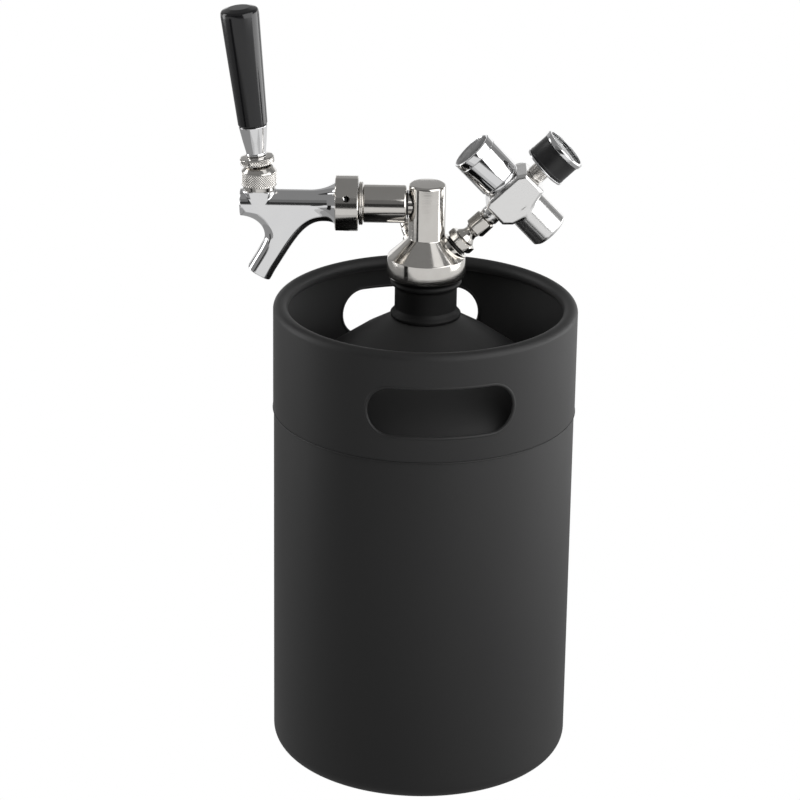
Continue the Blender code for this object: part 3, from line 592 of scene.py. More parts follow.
def thread(radius, low, high, pitch, depth):
    """Profile points of a screw thread's crests and roots, from high down to low."""
    count = int((high - low) / pitch)
    points = []
    for i in range(count):
        z = high - i * pitch
        points += [(radius - depth, z), (radius - depth, z - 0.15 * pitch)]
        points += [(radius, z - 0.45 * pitch), (radius, z - 0.60 * pitch)]
    return points + [(radius - depth, high - count * pitch)]


def make_head():
    """Turned head: column, cone, cap band and threaded plug, with its bosses and ports."""
    low, high, edge = along("tap_head_body", AT_KEG)
    outer = [
        (0, high),
        (COLUMN_R, high, 0.0017),
        (COLUMN_R, CONE_HIGH, 0.0008),
        (edge - 0.0010, CAP_HIGH + 0.0001, 0.0002),
        (edge - 0.0005, CAP_HIGH - 0.0005, 0.0002),
        (edge, CAP_LOW + 0.0014, 0.0002),
        (edge - 0.0014, CAP_LOW, 0.0003),
        (PLUG_R - 0.0008, CAP_LOW, 0.0002),
    ]
    plug = thread(PLUG_R, low + 0.0012, CAP_LOW - 0.0010, THREAD_PITCH, 0.0008)
    plug += [(PLUG_R - 0.0018, low), (0, low)]
    solid = lathe_mesh("tap_head", rounded(outer, 0.0002) + plug, 128)
    mesh = with_cuts(
        solid,
        AT_KEG,
        ("UNION", rod(0.0098, -0.0600, -0.0504), AT_INLET),
        ("UNION", rod(0.0066, -0.0040, 0.0006), AT_RELIEF),
        ("DIFFERENCE", rod(0.0044, 0.3000, SHANK_Z, 0), AT_KEG),
        ("DIFFERENCE", rod(0.0086, 0.3000, 0.3170, 0), AT_KEG),
        ("DIFFERENCE", rod(0.0073, 0.0040, 0.0300, 0), AT_SHANK),
        ("DIFFERENCE", rod(0.0078, -0.0509, -0.0400, 0), AT_INLET),
        ("DIFFERENCE", rod(0.0052, -0.0585, -0.0400, 0), AT_INLET),
        ("DIFFERENCE", rod(0.0036, -0.0060, 0.0100, 0), AT_RELIEF),
    )
    put(mesh, "tap_head", AT_KEG, STEEL, "tap_head", "tap_head_body")


def relief_frame():
    """The relief valve's axis frame; its body ends 7.5 mm up the axis."""
    points = [v.co for v in frame["nodes"]["relief_body"].data.vertices]
    top = max(p.dot(RELIEF_AXIS) for p in points)
    mouth = [p for p in points if p.dot(RELIEF_AXIS) > top - 0.0001]
    centre = sum(mouth, Vector()) / len(mouth)
    return axis_frame(centre - RELIEF_AXIS * 0.0075, RELIEF_AXIS, UP)


AT_RELIEF = relief_frame()


def make_head_fittings():
    """Gasket, dip tube, gas inlet seal and relief valve with its pull cap."""
    low, high, edge = along("head_gasket", AT_KEG)
    ring("gasket", edge, 0.0169, low, high, AT_KEG, RUBBER, "head_gasket", "head_gasket", edge=0.0008)
    low, high, edge = along("dip_tube", AT_KEG)
    ring("beer_line", edge, 0.0031, low, high, AT_KEG, STEEL, "tap_head", "dip_tube", steps=48)
    low, high, edge = along("gas_inlet_seal", AT_INLET)
    thick = (high - low) / 2
    seal = arc((edge - thick, low + thick), thick, 0, 360, 20)
    lathe("inlet_seal", seal, AT_INLET, RUBBER, "tap_head", "gas_inlet_seal")
    low, high, edge = along("relief_body", AT_RELIEF)
    body = [(0.0028, high), (0.0046, high), (0.0052, high - 0.0006), (0.0052, 0.0012), (0.0033, 0.0009)]
    body += [(0.0033, low), (0.0014, low), (0.0014, high - 0.0040), (0.0028, high - 0.0040), (0.0028, high)]
    lathe("relief_valve", rounded(body), AT_RELIEF, STEEL, "tap_head", "relief_body", steps=64)
    low, high, edge = along("relief_cap", AT_RELIEF)
    cap = [(0, high), (0.0038, high), (edge, high - 0.0007), (edge, 0.0082), (0.0042, 0.0078)]
    cap += [(0.0010, 0.0078), (0.0010, -0.0014), (0.0020, -0.0014), (0.0020, -0.0020), (0, low)]
    lathe("relief_pull", rounded(cap, 0.0003), AT_RELIEF, STEEL, "relief_cap", "relief_cap", steps=64)


def hex_mesh(name, corner_r, low, high, bore, steps=144):
    """A hexagon nut with the turned chamfer that a real one has at both ends, and its bore."""
    flat_r = corner_r * math.cos(math.pi / 6)
    chamfer = min(0.0007, 0.2 * (high - low))
    made = bmesh.new()
    levels = [low + chamfer * t for t in (0, 0.33, 0.66, 1)]
    levels += [high - chamfer * t for t in (1, 0.66, 0.33, 0)]
    rows = []
    for z in levels:
        inset = max(0.0, chamfer - min(z - low, high - z)) / chamfer
        limit = corner_r - inset * (corner_r - flat_r) * 1.2 - 0.00025
        turn = [2 * math.pi * i / steps for i in range(steps)]
        reach = [min(flat_r / math.cos((a % (math.pi / 3)) - math.pi / 6), limit) for a in turn]
        rows.append([made.verts.new((r * math.cos(a), r * math.sin(a), z)) for a, r in zip(turn, reach)])
    for z, r in ((high, bore + 0.0004), (high - 0.0004, bore), (low + 0.0004, bore), (low, bore + 0.0004)):
        turn = [2 * math.pi * i / steps for i in range(steps)]
        rows.append([made.verts.new((r * math.cos(a), r * math.sin(a), z)) for a in turn])
    for first, second in zip(rows, rows[1:] + rows[:1]):
        for i in range(steps):
            j = (i + 1) % steps
            made.faces.new((first[i], first[j], second[j], second[i]))
    return finished(made, name)


make_head()
make_head_fittings()


# ---------------------------------------------------------------- shank and gas inlet
SHANK_BORE = 0.0040
HOLE_TURN = math.radians(26.6)
AT_FLATS = AT_INLET @ Matrix.Rotation(math.radians(30), 4, "Z")


def make_shank():
    """Shank with its neck, shoulder, threaded end and the ring that the nut pulls against."""
    body = [(SHANK_BORE, 0.0504), (0.0098, 0.0504), (0.0105, 0.0497), (0.0105, 0.0403)]
    body += [(0.0117, 0.0403), (0.0121, 0.0399), (0.0121, 0.0132, 0.0013), (0.0070, 0.0132)]
    body += [(0.0070, 0.0090), (SHANK_BORE, 0.0090), (SHANK_BORE, 0.0504)]
    lathe("shank", rounded(body, 0.0002), AT_SHANK, STEEL, "tap_head", "shank")
    low, high, edge = along("shank_flange_ring", AT_SHANK)
    middle = (low + high) / 2
    shape = [(0.0108, low), (edge - 0.0006, low), (edge, low + 0.0004), (edge, middle - 0.0002)]
    shape += [(edge - 0.0004, middle), (edge, middle + 0.0002), (edge, high - 0.0004)]
    shape += [(edge - 0.0006, high), (0.0108, high), (0.0108, low)]
    lathe("flange_ring", rounded(shape, 0.0002), AT_SHANK, STEEL, "tap_head", "shank_flange_ring")


def make_coupling_nut():
    """Smooth turned nut with crisp ends and countersunk holes for a pin spanner."""
    low, high, edge = along("faucet_coupling_nut", AT_SHANK)
    bore_r, collar_r = 0.0160, 0.0109
    shape = [(edge - 0.0005, high), (edge, high - 0.0005), (edge, low + 0.0005), (edge - 0.0005, low)]
    shape += [(collar_r, low), (collar_r, low + 0.0022), (bore_r, low + 0.0022)]
    shape += [(bore_r, high - 0.0018), (0.0148, high - 0.0018), (0.0148, high), (edge - 0.0005, high)]
    mesh = lathe_mesh("coupling_nut", rounded(shape, 0.0001), 128)
    cuts = []
    for i in range(4):
        turn = HOLE_TURN + i * math.pi / 2
        outward = Vector((0, math.cos(turn), -math.sin(turn)))
        hole = axis_frame(AT_SHANK @ Vector((0, 0, (low + high) / 2)), outward, (1, 0, 0))
        drilled = [(0, edge - 0.0045), (0.0018, edge - 0.0045), (0.0018, edge - 0.0006)]
        drilled += [(0.0030, edge + 0.0006), (0.0030, edge + 0.0030), (0, edge + 0.0030)]
        cuts.append(("DIFFERENCE", drilled, hole))
    mesh = with_cuts(mesh, AT_SHANK, *cuts)
    put(mesh, "coupling_nut", AT_SHANK, STEEL, "coupling_nut", "faucet_coupling_nut")


def make_gas_inlet():
    """Inlet hex, threaded nipple, tailpiece and the swivel nut that joins the regulator."""
    low, high, edge = along("gas_inlet_hex", AT_INLET)
    mesh = hex_mesh("inlet_hex", edge, low, high, 0.0047)
    put(mesh, "inlet_hex", AT_FLATS, STEEL, "tap_head", "gas_inlet_hex")
    nipple = [(0.0015, -0.0312), (0.0047, -0.0312)] + thread(0.0052, -0.0366, -0.0314, 0.0011, 0.0005)
    nipple += [(0.0044, -0.0370), (0.0048, -0.0392, 0.001), (0.0068, -0.0418, 0.0002)]
    nipple += [(0.0068, -0.0426, 0.0002), (0.0044, -0.0426), (0.0044, -0.0484)]
    nipple += [(0.0048, -0.0490), (0.0048, -0.0560), (0.0013, -0.0560), (0.0013, -0.0552)]
    nipple += [(0.0026, -0.0552), (0.0026, -0.0466), (0.0015, -0.0456), (0.0015, -0.0312)]
    nipple = rounded(nipple, 0.0001, 1)
    lathe("inlet_nipple", nipple, AT_INLET, STEEL, "tap_head", "gas_inlet_nipple", steps=72)
    tail = [(0.0036, -0.0120), (0.0036, -0.0205), (0.0058, -0.0208), (0.0058, -0.0233)]
    tail += [(0.0030, -0.0236, 0.0006), (0.0030, -0.0278), (0.0044, -0.0286), (0.0044, -0.0306)]
    tail += [(0.0014, -0.0309), (0.0014, -0.0120), (0.0036, -0.0120)]
    tail = rounded(tail, 0.0002)
    lathe("inlet_tailpiece", tail, AT_INLET, STEEL, "regulator", "inlet_tailpiece", steps=64)
    low, high, edge = along("swivel_nut", AT_INLET)
    nut = hex_mesh("swivel_nut", edge, low, high, 0.0034)
    hollow = [(0, low - 0.001), (0.0056, low - 0.001), (0.0056, -0.0274), (0.0034, -0.0262), (0, -0.0262)]
    nut = with_cuts(nut, AT_FLATS, ("DIFFERENCE", hollow, AT_INLET))
    put(nut, "swivel_nut", AT_FLATS, STEEL, "swivel_nut", "swivel_nut")


make_shank()
make_coupling_nut()
make_gas_inlet()


# ---------------------------------------------------------------- cast shapes
# A casting is a signed distance field, in metres, over arrays of x, y and z. It is
# meshed on a grid and its points are then drawn on to the field's true surface.


def soft_union(first, second, blend):
    """Two fields joined with a fillet about as wide as blend."""
    share = np.clip(0.5 + 0.5 * (second - first) / blend, 0.0, 1.0)
    return second * (1 - share) + first * share - blend * share * (1 - share)


def soft_cut(solid, hole, blend=0.0003):
    return -soft_union(-solid, hole, blend)


def round_box(side, end, edge):
    """Field of a shape from its distances outside the side and the end, with round edges."""
    side, end = side + edge, end + edge
    outside = np.hypot(np.maximum(side, 0), np.maximum(end, 0))
    return np.minimum(np.maximum(side, end), 0) + outside - edge


def field_bar(across, height, radius, low, high, edge=0.0004):
    """A cylinder, from the distance off its axis and the height along it."""
    end = np.abs(height - (low + high) / 2) - (high - low) / 2
    return round_box(across - radius, end, edge)


def field_outline(x, z, outline):
    """Signed distance to a closed outline in a plane, negative inside."""
    shape = np.broadcast(x, z).shape
    nearest = np.full(shape, 1e9)
    inside = np.zeros(shape, bool)
    for (ax, az), (bx, bz) in zip(outline, outline[1:] + outline[:1]):
        ex, ez = bx - ax, bz - az
        t = np.clip(((x - ax) * ex + (z - az) * ez) / (ex * ex + ez * ez), 0, 1)
        nearest = np.minimum(nearest, np.hypot(x - ax - t * ex, z - az - t * ez))
        if bz != az:
            inside ^= ((az > z) != (bz > z)) & (x < ax + (z - az) * ex / (bz - az))
    return np.where(inside, -nearest, nearest)


def on_surface(field, points, step):
    """Moves points along the field's slope on to its zero surface."""
    reach = 0.05 * step
    for _ in range(4):
        slope = np.zeros(points.shape)
        for axis in range(3):
            nudge = np.zeros(3)
            nudge[axis] = reach
            slope[:, axis] = (field(*(points + nudge).T) - field(*(points - nudge).T)) / (2 * reach)
        size = np.maximum((slope**2).sum(axis=1), 0.2)
        move = slope * (field(*points.T) / size)[:, None]
        points = points - np.clip(move, -0.4 * step, 0.4 * step)
    return points


def cast_mesh(name, field, low, high, step):
    """The zero surface of a field inside a box, as a mesh of small quads."""
    axes = [np.arange(a, b + step, step) for a, b in zip(low, high)]
    value = field(*np.meshgrid(*axes, indexing="ij", sparse=True))
    solid = value < 0
    cells = np.array(value.shape) - 1
    total, count = np.zeros((*cells, 3)), np.zeros(cells)
    quads = []
    for axis in range(3):
        one, two = [a for a in range(3) if a != axis]
        here, there = [slice(None)] * 3, [slice(None)] * 3
        here[axis], there[axis] = slice(0, -1), slice(1, None)
        at = np.argwhere(solid[tuple(here)] != solid[tuple(there)])
        ahead = at.copy()
        ahead[:, axis] += 1
        first, second = value[tuple(at.T)], value[tuple(ahead.T)]
        where = at * 1.0
        where[:, axis] += first / (first - second)
        ring_of = []
        for d1, d2 in ((0, 0), (1, 0), (1, 1), (0, 1)):
            cell = at.copy()
            cell[:, one] -= d1
            cell[:, two] -= d2
            np.add.at(total, tuple(cell.T), where)
            np.add.at(count, tuple(cell.T), 1)
            ring_of.append(np.ravel_multi_index(cell.T, cells))
        quads.append(np.stack(ring_of, axis=1))
    used = np.flatnonzero(count)
    index = np.full(count.size, -1)
    index[used] = np.arange(len(used))
    points = total.reshape(-1, 3)[used] / count.reshape(-1)[used][:, None]
    points = on_surface(field, points * step + np.array(low), step)
    made = bmesh.new()
    corners = [made.verts.new(p) for p in points.tolist()]
    for quad in index[np.concatenate(quads)].tolist():
        made.faces.new([corners[i] for i in quad])
    return finished(made, name)


# ---------------------------------------------------------------- faucet body
BODY_END_X = -0.1185
BARREL_R = 0.0083
WEB_HALF = 0.00824
SPOUT_TIP = (-0.1062, 0.3274)
SPOUT_SLOPE = math.radians(61.2)


def bezier(a, b, c, d, count):
    """Points of a cubic curve from a to d."""
    points = []
    for i in range(count + 1):
        t = i / count
        weights = ((1 - t) ** 3, 3 * t * (1 - t) ** 2, 3 * t * t * (1 - t), t**3)
        points.append(tuple(sum(w * p[k] for w, p in zip(weights, (a, b, c, d))) for k in (0, 1)))
    return points


FRONT = bezier((BODY_END_X, 0.3659), (-0.1100, 0.3656), (-0.1032, 0.3604), (-0.1028, 0.3529), 24)
FRONT += bezier((-0.1028, 0.3529), (-0.1026, 0.3489), (-0.1084, 0.3406), (-0.1132, 0.3318), 24)[1:]
FRONT.append((-0.1190, 0.3211))
BACK = [(-0.1050, 0.3131)]
BACK += bezier((-0.0955, 0.3310), (-0.0850, 0.3480), (-0.0780, 0.3630), (-0.0660, 0.3632), 40)
BACK.append((-0.0560, 0.3632))
CREASE_Z = SHANK_Z + 0.0008
WEB_OUTLINE = FRONT + BACK + [(-0.0560, CREASE_Z), (BODY_END_X, CREASE_Z)]
BARREL = [(-0.02, 0.0523), (0.0156, 0.0523), (0.0156, 0.0561), (0.0146, 0.0561)]
BARREL += bezier((0.0146, 0.0570), (0.0122, 0.0600), (0.0086, 0.0640), (BARREL_R, 0.0740), 30)
BARREL += [(BARREL_R, -BODY_END_X - 0.0004), (BARREL_R - 0.0004, -BODY_END_X), (-0.02, -BODY_END_X)]
SEAT = [(-0.02, 0.3865), (0.0088, 0.3865), (0.0088, 0.3831), (0.0103, 0.3829)]
SEAT += bezier((0.0103, 0.3820), (0.0100, 0.3790), (0.0090, 0.3770), (0.0086, 0.3725), 16)
SEAT.append((-0.02, 0.3725))
SWING_HALF = 0.0028
SWING = [(-0.1094, 0.3740), (-0.0948, 0.3740), (-0.0972, 0.3800), (-0.1014, 0.3880), (-0.1094, 0.3880)]


def near_line(x, z, line):
    """Distance to an open line in a plane."""
    nearest = np.full(np.broadcast(x, z).shape, 1e9)
    for (ax, az), (bx, bz) in zip(line, line[1:]):
        ex, ez = bx - ax, bz - az
        t = np.clip(((x - ax) * ex + (z - az) * ez) / (ex * ex + ez * ez), 0, 1)
        nearest = np.minimum(nearest, np.hypot(x - ax - t * ex, z - az - t * ez))
    return nearest


def faucet_field(x, y, z):
    """Barrel, flared tail, bonnet seat and the web that runs into the spout, less the bores."""
    off_shank = np.hypot(y, z - SHANK_Z)
    off_bonnet = np.hypot(x - LEVER_AT.x, y)
    barrel = field_outline(off_shank, -x, BARREL)
    toward_front = np.clip((near_line(x, z, BACK) - near_line(x, z, FRONT)) / 0.0080 + 0.5, 0, 1)
    edge = np.clip(CREASE_Z - 0.0002 - z, 0.0008, 0.0056 + 0.0012 * toward_front)
    web = round_box(field_outline(x, z, WEB_OUTLINE), np.abs(y) - WEB_HALF, edge)
    body = soft_union(barrel, web, 0.0003 + 0.0014 * np.clip((x + 0.0740) / 0.0080, 0, 1))
    seat = soft_cut(field_outline(off_bonnet, z, SEAT), WEB_HALF - 0.00015 - np.abs(y), 0.0004)
    body = soft_union(body, seat, 0.0009 * np.clip((z - SHANK_Z + 0.0006) / 0.0040, 0.02, 1))
    body = soft_cut(body, field_bar(off_shank, -x, 0.0092, 0.0500, 0.0650))
    body = soft_cut(body, field_bar(off_shank, -x, 0.0079, 0.0600, 0.0681))
    body = soft_cut(body, field_bar(off_shank, -x, 0.0054, 0.0640, 0.1160))
    body = soft_cut(body, field_bar(off_bonnet, z, 0.0062, SHANK_Z, 0.3900))
    swing = round_box(field_outline(x, z, SWING), np.abs(y) - SWING_HALF, 0.0003)
    body = soft_cut(body, swing)
    ax, az = math.cos(SPOUT_SLOPE), math.sin(SPOUT_SLOPE)
    up_spout = (x - SPOUT_TIP[0]) * ax + (z - SPOUT_TIP[1]) * az
    off_spout = np.hypot((x - SPOUT_TIP[0]) * az - (z - SPOUT_TIP[1]) * ax, y)
    body = soft_cut(body, up_spout, 0.0004)
    return soft_cut(body, field_bar(off_spout, up_spout, 0.0050, -0.0100, 0.0500), 0.0006)


def make_faucet():
    step = 0.0005
    mesh = cast_mesh("faucet", faucet_field, (-0.1200, -0.0170, 0.3220), (-0.0510, 0.0170, 0.3920), step)
    put(mesh, "faucet", Matrix.Identity(4), CHROME, "tap_head", "faucet_body")


make_faucet()


# ---------------------------------------------------------------- bonnet, lever and handle
KNURL_PITCH = 0.00155
KNURL_DEPTH = 0.00050


def knurled(mesh, radius, low, high):
    """Cuts crossed diagonal grooves into the band of a turned mesh at that radius."""
    count = round(2 * math.pi * radius / KNURL_PITCH)
    for vertex in mesh.vertices:
        x, y, z = vertex.co
        if abs(math.hypot(x, y) - radius) > 0.00002 or not low <= z <= high:
            continue
        turn = math.atan2(y, x) * count / (2 * math.pi)
        lift = z / KNURL_PITCH
        crest = min(abs((turn + way * lift) % 1 * 2 - 1) for way in (1, -1))
        fade = min(1.0, (z - low) / 0.0003, (high - z) / 0.0003)
        share = 1 - KNURL_DEPTH * fade * (1 - crest) / radius
        vertex.co.x, vertex.co.y = x * share, y * share
    return mesh


def band(radius, low, high):
    """Closely spaced profile points, from high down to low, for a knurled band."""
    count = round((high - low) / (KNURL_PITCH / 6))
    return [(radius, high + (low - high) * i / count) for i in range(count + 1)]


def make_bonnet_nut():
    low, high, edge = along("bonnet_nut", AT_BONNET)
    shape = [(0.0074, high), (0.0084, high), (0.0087, high - 0.0001), (0.0107, 0.3957), (edge, 0.3951)]
    shape = rounded(shape)
    shape += band(edge, 0.3864, 0.3949)
    shape += rounded([(edge, 0.3863), (edge, 0.3860), (0.0101, 0.3858), (0.0101, low), (0.0091, low)], 0.0002)
    shape += [(0.0091, 0.3950), (0.0074, 0.3955), (0.0074, high)]
    steps = 6 * round(2 * math.pi * edge / KNURL_PITCH)
    mesh = knurled(lathe_mesh("bonnet_nut", shape, steps), edge, 0.3864, 0.3949)
    put(mesh, "bonnet_nut", AT_BONNET, STEEL, "bonnet_nut", "bonnet_nut")


def make_lever():
    """Ball lever, knurled lock nut, ferrule and tap handle."""
    ball = arc((0, 0), 0.0060, 61, -70, 40)
    stem = [(0, 0.0240), (0.0029, 0.0240)] + ball + [(0.0020, -0.0172, 0.0006), (0, -0.0174)]
    lathe("ball_lever", rounded(stem, 0.0003), AT_LEVER, STEEL, "lever", "lever", steps=64)
    edge = along("lever_lock_nut", AT_LEVER)[2]
    upper = [(0.0032, 0.0142), (0.0070, 0.0142), (0.0100, 0.0136), (edge, 0.0129), (edge, 0.0127)]
    lower = [(edge, 0.0097), (edge, 0.0095), (0.0098, 0.0088), (0.0070, 0.0101), (0.0045, 0.0114)]
    lock = rounded(upper, 0.0004) + band(edge, 0.0098, 0.0127) + rounded(lower, 0.0003)
    lock += [(0.0032, 0.0114), (0.0032, 0.0142)]
    steps = 6 * round(2 * math.pi * edge / KNURL_PITCH)
    mesh = knurled(lathe_mesh("lock_nut", lock, steps), edge, 0.0098, 0.0127)
    put(mesh, "lock_nut", AT_LEVER, STEEL, "lever", "lever_lock_nut")
    ferrule = [(0.0036, 0.0340), (0.0090, 0.0340, 0.0003), (0.0089, 0.0332), (0.0076, 0.0242, 0.02)]
    ferrule += [(0.0062, 0.0162, 0.0008), (0.0067, 0.0153, 0.0006), (0.0062, 0.0145, 0.0002)]
    ferrule += [(0.0032, 0.0145), (0.0032, 0.0250), (0.0036, 0.0250), (0.0036, 0.0340)]
    lathe("ferrule", rounded(ferrule, 0.0002, 5), AT_LEVER, CHROME, "lever", "handle_ferrule")
    high = along("tap_handle", AT_LEVER)[1]
    grip = [(0, high), (0.0068, high - 0.0001, 0.002), (0.0118, high - 0.0016, 0.0030)]
    grip += [(0.0121, 0.1054, 0.004)]
    grip += [(0.0107, 0.0701, 0.04), (0.0093, 0.0352, 0.0006), (0.0086, 0.0343, 0.0002), (0.0037, 0.0343)]
    grip += [(0.0037, 0.0540), (0, 0.0540)]
    lathe("grip", rounded(grip, 0.0003, 8), AT_LEVER, PLASTIC, "lever", "tap_handle", steps=128)


def make_valve_shaft():
    """Valve shaft with its finger slot, and the nut that holds its washer."""
    shaft = [(0, 0.1150), (0.0018, 0.1150), (0.0018, 0.1116), (0.0046, 0.1108), (0.0046, 0.0980)]
    shaft += [(0.0020, 0.0972), (0.0020, 0.0605), (0, 0.0605)]
    shaft = loose(lathe_mesh("valve_shaft", rounded(shaft, 0.0002), 48), AT_SHANK)
    made = bmesh.new()
    bmesh.ops.create_cube(made, size=1.0)
    bmesh.ops.scale(made, verts=made.verts, vec=(0.0078, 0.0050, 0.0110))
    bmesh.ops.bevel(made, geom=made.edges, offset=0.0008, segments=3, affect="EDGES")
    mesh = bpy.data.meshes.new("finger_slot")
    made.to_mesh(mesh)
    made.free()
    slot = loose(mesh, Matrix.Translation((LEVER_AT.x + 0.0019, 0, SHANK_Z + 0.0030)))
    step = shaft.modifiers.new("slot", "BOOLEAN")
    step.object = slot
    step.solver = "EXACT"
    mesh = applied(shaft)
    bpy.data.objects.remove(slot)
    put(mesh, "valve_shaft", AT_SHANK, STEEL, "plunger", "plunger_shaft")
    low, high, edge = along("shaft_nut", AT_SHANK)
    nut = hex_mesh("shaft_nut", edge, low, high, 0.0027)
    put(nut, "shaft_nut", AT_SHANK, STEEL, "plunger", "shaft_nut")


make_bonnet_nut()
make_lever()
make_valve_shaft()


# ---------------------------------------------------------------- regulator
BLOCK = [
    (-0.0168, 0.0082),
    (-0.0120, 0.0106),
    (0.0120, 0.0106),
    (0.0172, 0.0075),
    (0.0172, -0.0085),
    (-0.0020, -0.0140),
    (-0.0120, -0.0115),
    (-0.0168, -0.0070),
]
BLOCK_HALF = 0.0131
REAR_BOSS = (0.0090, 0.0020)


def regulator_field(x, y, z):
    """Faceted block, spring boss, cartridge socket and rear boss, less their bores.

    The field's x runs along the inlet, y along the knob's axis and z out of the face.
    """
    off_knob, off_inlet = np.hypot(x, z), np.hypot(y, z)
    off_rear = np.hypot(x - REAR_BOSS[0], y - REAR_BOSS[1])
    block = round_box(field_outline(x, y, BLOCK), np.abs(z) - BLOCK_HALF, 0.0026)
    boss = field_bar(off_knob, y, 0.0124, 0.0020, 0.0110, 0.0006)
    body = soft_union(block, boss, 0.0008)
    body = soft_union(body, field_bar(off_inlet, -x, 0.0064, 0.0150, 0.0224, 0.0006), 0.0004)
    wall = [(-0.02, 0.0340), (0.01145, 0.0340), (0.01305, 0.0324), (0.01305, 0.0080), (-0.02, 0.0080)]
    body = soft_union(body, field_outline(off_knob, -y, wall), 0.0010)
    body = soft_union(body, field_bar(off_rear, -z, 0.0078, 0.0060, 0.0176, 0.0012), 0.0016)
    for across, height, radius, low, high in (
        (off_knob, y, 0.0093, 0.0014, 0.0300),
        (off_knob, -y, 0.0096, 0.0170, 0.0500),
        (off_knob, -y, 0.0019, -0.0030, 0.0200),
        (off_inlet, x, 0.0039, -0.0300, -0.0100),
        (off_inlet, x, 0.0061, -0.0300, -0.0204),
        (off_inlet, x, 0.0048, 0.0100, 0.0300),
        (off_rear, -z, 0.0040, 0.0130, 0.0250),
    ):
        body = soft_cut(body, field_bar(across, height, radius, low, high), 0.0003)
    return body


def make_regulator_block():
    step = 0.00055
    low, high = (-0.0240, -0.0350, -0.0190), (0.0185, 0.0130, 0.0150)
    mesh = cast_mesh("regulator", regulator_field, low, high, step)
    put(mesh, "regulator", AT_BODY, CAST, "regulator", "regulator_body")
    rear = axis_frame(AT_BODY @ Vector((*REAR_BOSS, 0)), -FACE_AXIS, UP)
    plug = hex_mesh("rear_plug", 0.0062, 0.0179, 0.0205, 0.0008)
    put(plug, "rear_plug", rear, STEEL, "regulator", "burst_disc_plug")
    stud = rod(0.0036, 0.0145, 0.0182)
    lathe("rear_plug_stud", stud, rear, STEEL, "regulator", steps=48)


def make_adjuster():
    """Spring bonnet, thrust button and the hollow knob with its textured end."""
    bonnet = [(0.0068, 0.0280), (0.0090, 0.0280)] + thread(0.0090, 0.0150, 0.0279, 0.0012, 0.0005)
    bonnet += [(0.0090, 0.0137), (0.0128, 0.0137, 0.0003), (0.0133, 0.0133, 0.0003), (0.0133, 0.0117, 0.0003)]
    bonnet += [(0.0128, 0.0113, 0.0003), (0.0090, 0.0113), (0.0090, 0.0029), (0.0068, 0.0029)]
    bonnet.append((0.0068, 0.0280))
    lathe("spring_bonnet", rounded(bonnet, 0.0001, 1), AT_KNOB, CHROME, "regulator", "spring_bonnet")
    low, high, edge = along("spring_button", AT_KNOB)
    button = [(0, high), (0.0018, high), (edge, 0.0205), (edge, low), (0, low)]
    button = rounded(button, 0.0003)
    lathe("thrust_button", button, AT_KNOB, STEEL, "spring_button", "spring_button", steps=64)
    low, high, edge = along("adjust_knob", AT_KNOB)
    knob = [(0, high - 0.0006), (edge - 0.0015, high - 0.0006, 0.0001), (edge - 0.0011, high, 0.0003)]
    knob += [(edge - 0.0004, high, 0.0003), (edge, high - 0.0005, 0.0003)]
    groove = 0.0345
    knob += [(edge, groove + 0.0003), (edge - 0.00025, groove + 0.0001), (edge - 0.00025, groove - 0.0001)]
    knob += [(edge, groove - 0.0003)]
    knob += [(edge, low + 0.0004), (edge - 0.0004, low), (edge - 0.0016, low), (edge - 0.0016, 0.0372)]
    knob += [(0.0026, 0.0372), (0.0026, 0.0224), (0, 0.0219)]
    lathe("knob", rounded(knob, 0.0002), AT_KNOB, CHROME, "adjust_knob", "adjust_knob", steps=128)
    face = [(0, high - 0.0003), (edge - 0.0017, high - 0.0003, 0.0002)]
    face += [(edge - 0.0016, high - 0.0008), (0, high - 0.0008)]
    lathe("knob_face", rounded(face), AT_KNOB, ENAMEL, "adjust_knob")


def make_socket_parts():
    """The hollow pin that pierces the cartridge."""
    pin = [(0.0003, 0.0040), (0.0016, 0.0040), (0.0016, 0.0173), (0.0042, 0.0173), (0.0042, 0.0192)]
    pin += [(0.0015, 0.0195), (0.0015, 0.0208), (0.0004, 0.0232), (0.0003, 0.0228), (0.0003, 0.0040)]
    lathe("cartridge_pin", rounded(pin, 0.0002), AT_SOCKET, STEEL, "regulator", "piercing_pin", steps=48)
    low, high, edge = along("cartridge_seal", AT_SOCKET)
    where = (AT_SOCKET, RUBBER, "regulator", "cartridge_seal")
    ring("socket_seal", edge, 0.0048, low, high, *where, edge=0.0005)


make_regulator_block()
make_adjuster()
make_socket_parts()


# ---------------------------------------------------------------- gauge
DIAL_LABELS = ("0", "15", "30", "45", "60")
DIAL_START = math.radians(225)
DIAL_SWEEP = math.radians(270)
PRINT_Z = 0.03918


def dial_mark(made, turn, inner, outer, width):
    """A printed bar pointing at the middle of the dial."""
    c, s = math.cos(turn), math.sin(turn)
    corners = ((inner, -width / 2), (outer, -width / 2), (outer, width / 2), (inner, width / 2))
    flat = [made.verts.new((r * c - t * s, r * s + t * c, 0)) for r, t in corners]
    face = made.faces.new(flat)
    raised = bmesh.ops.extrude_face_region(made, geom=[face])
    lifted = [v for v in raised["geom"] if isinstance(v, bmesh.types.BMVert)]
    bmesh.ops.translate(made, verts=lifted, vec=(0, 0, 0.00004))


def dial_number(label, turn):
    """A printed number, upright when the gauge is read with its gap at the bottom."""
    text = bpy.data.curves.new("number", "FONT")
    text.body = label
    text.size = 0.0032
    text.extrude = 0.00002
    text.resolution_u = 4
    text.align_x = "CENTER"
    text.align_y = "CENTER"
    guide = bpy.data.objects.new("number", text)
    bpy.context.scene.collection.objects.link(guide)
    guide.location = (0.0078 * math.cos(turn), 0.0078 * math.sin(turn), 0)
    bpy.context.view_layer.update()
    mesh = bpy.data.meshes.new_from_object(guide.evaluated_get(bpy.context.evaluated_depsgraph_get()))
    mesh.transform(guide.matrix_world)
    bpy.data.objects.remove(guide)
    return mesh


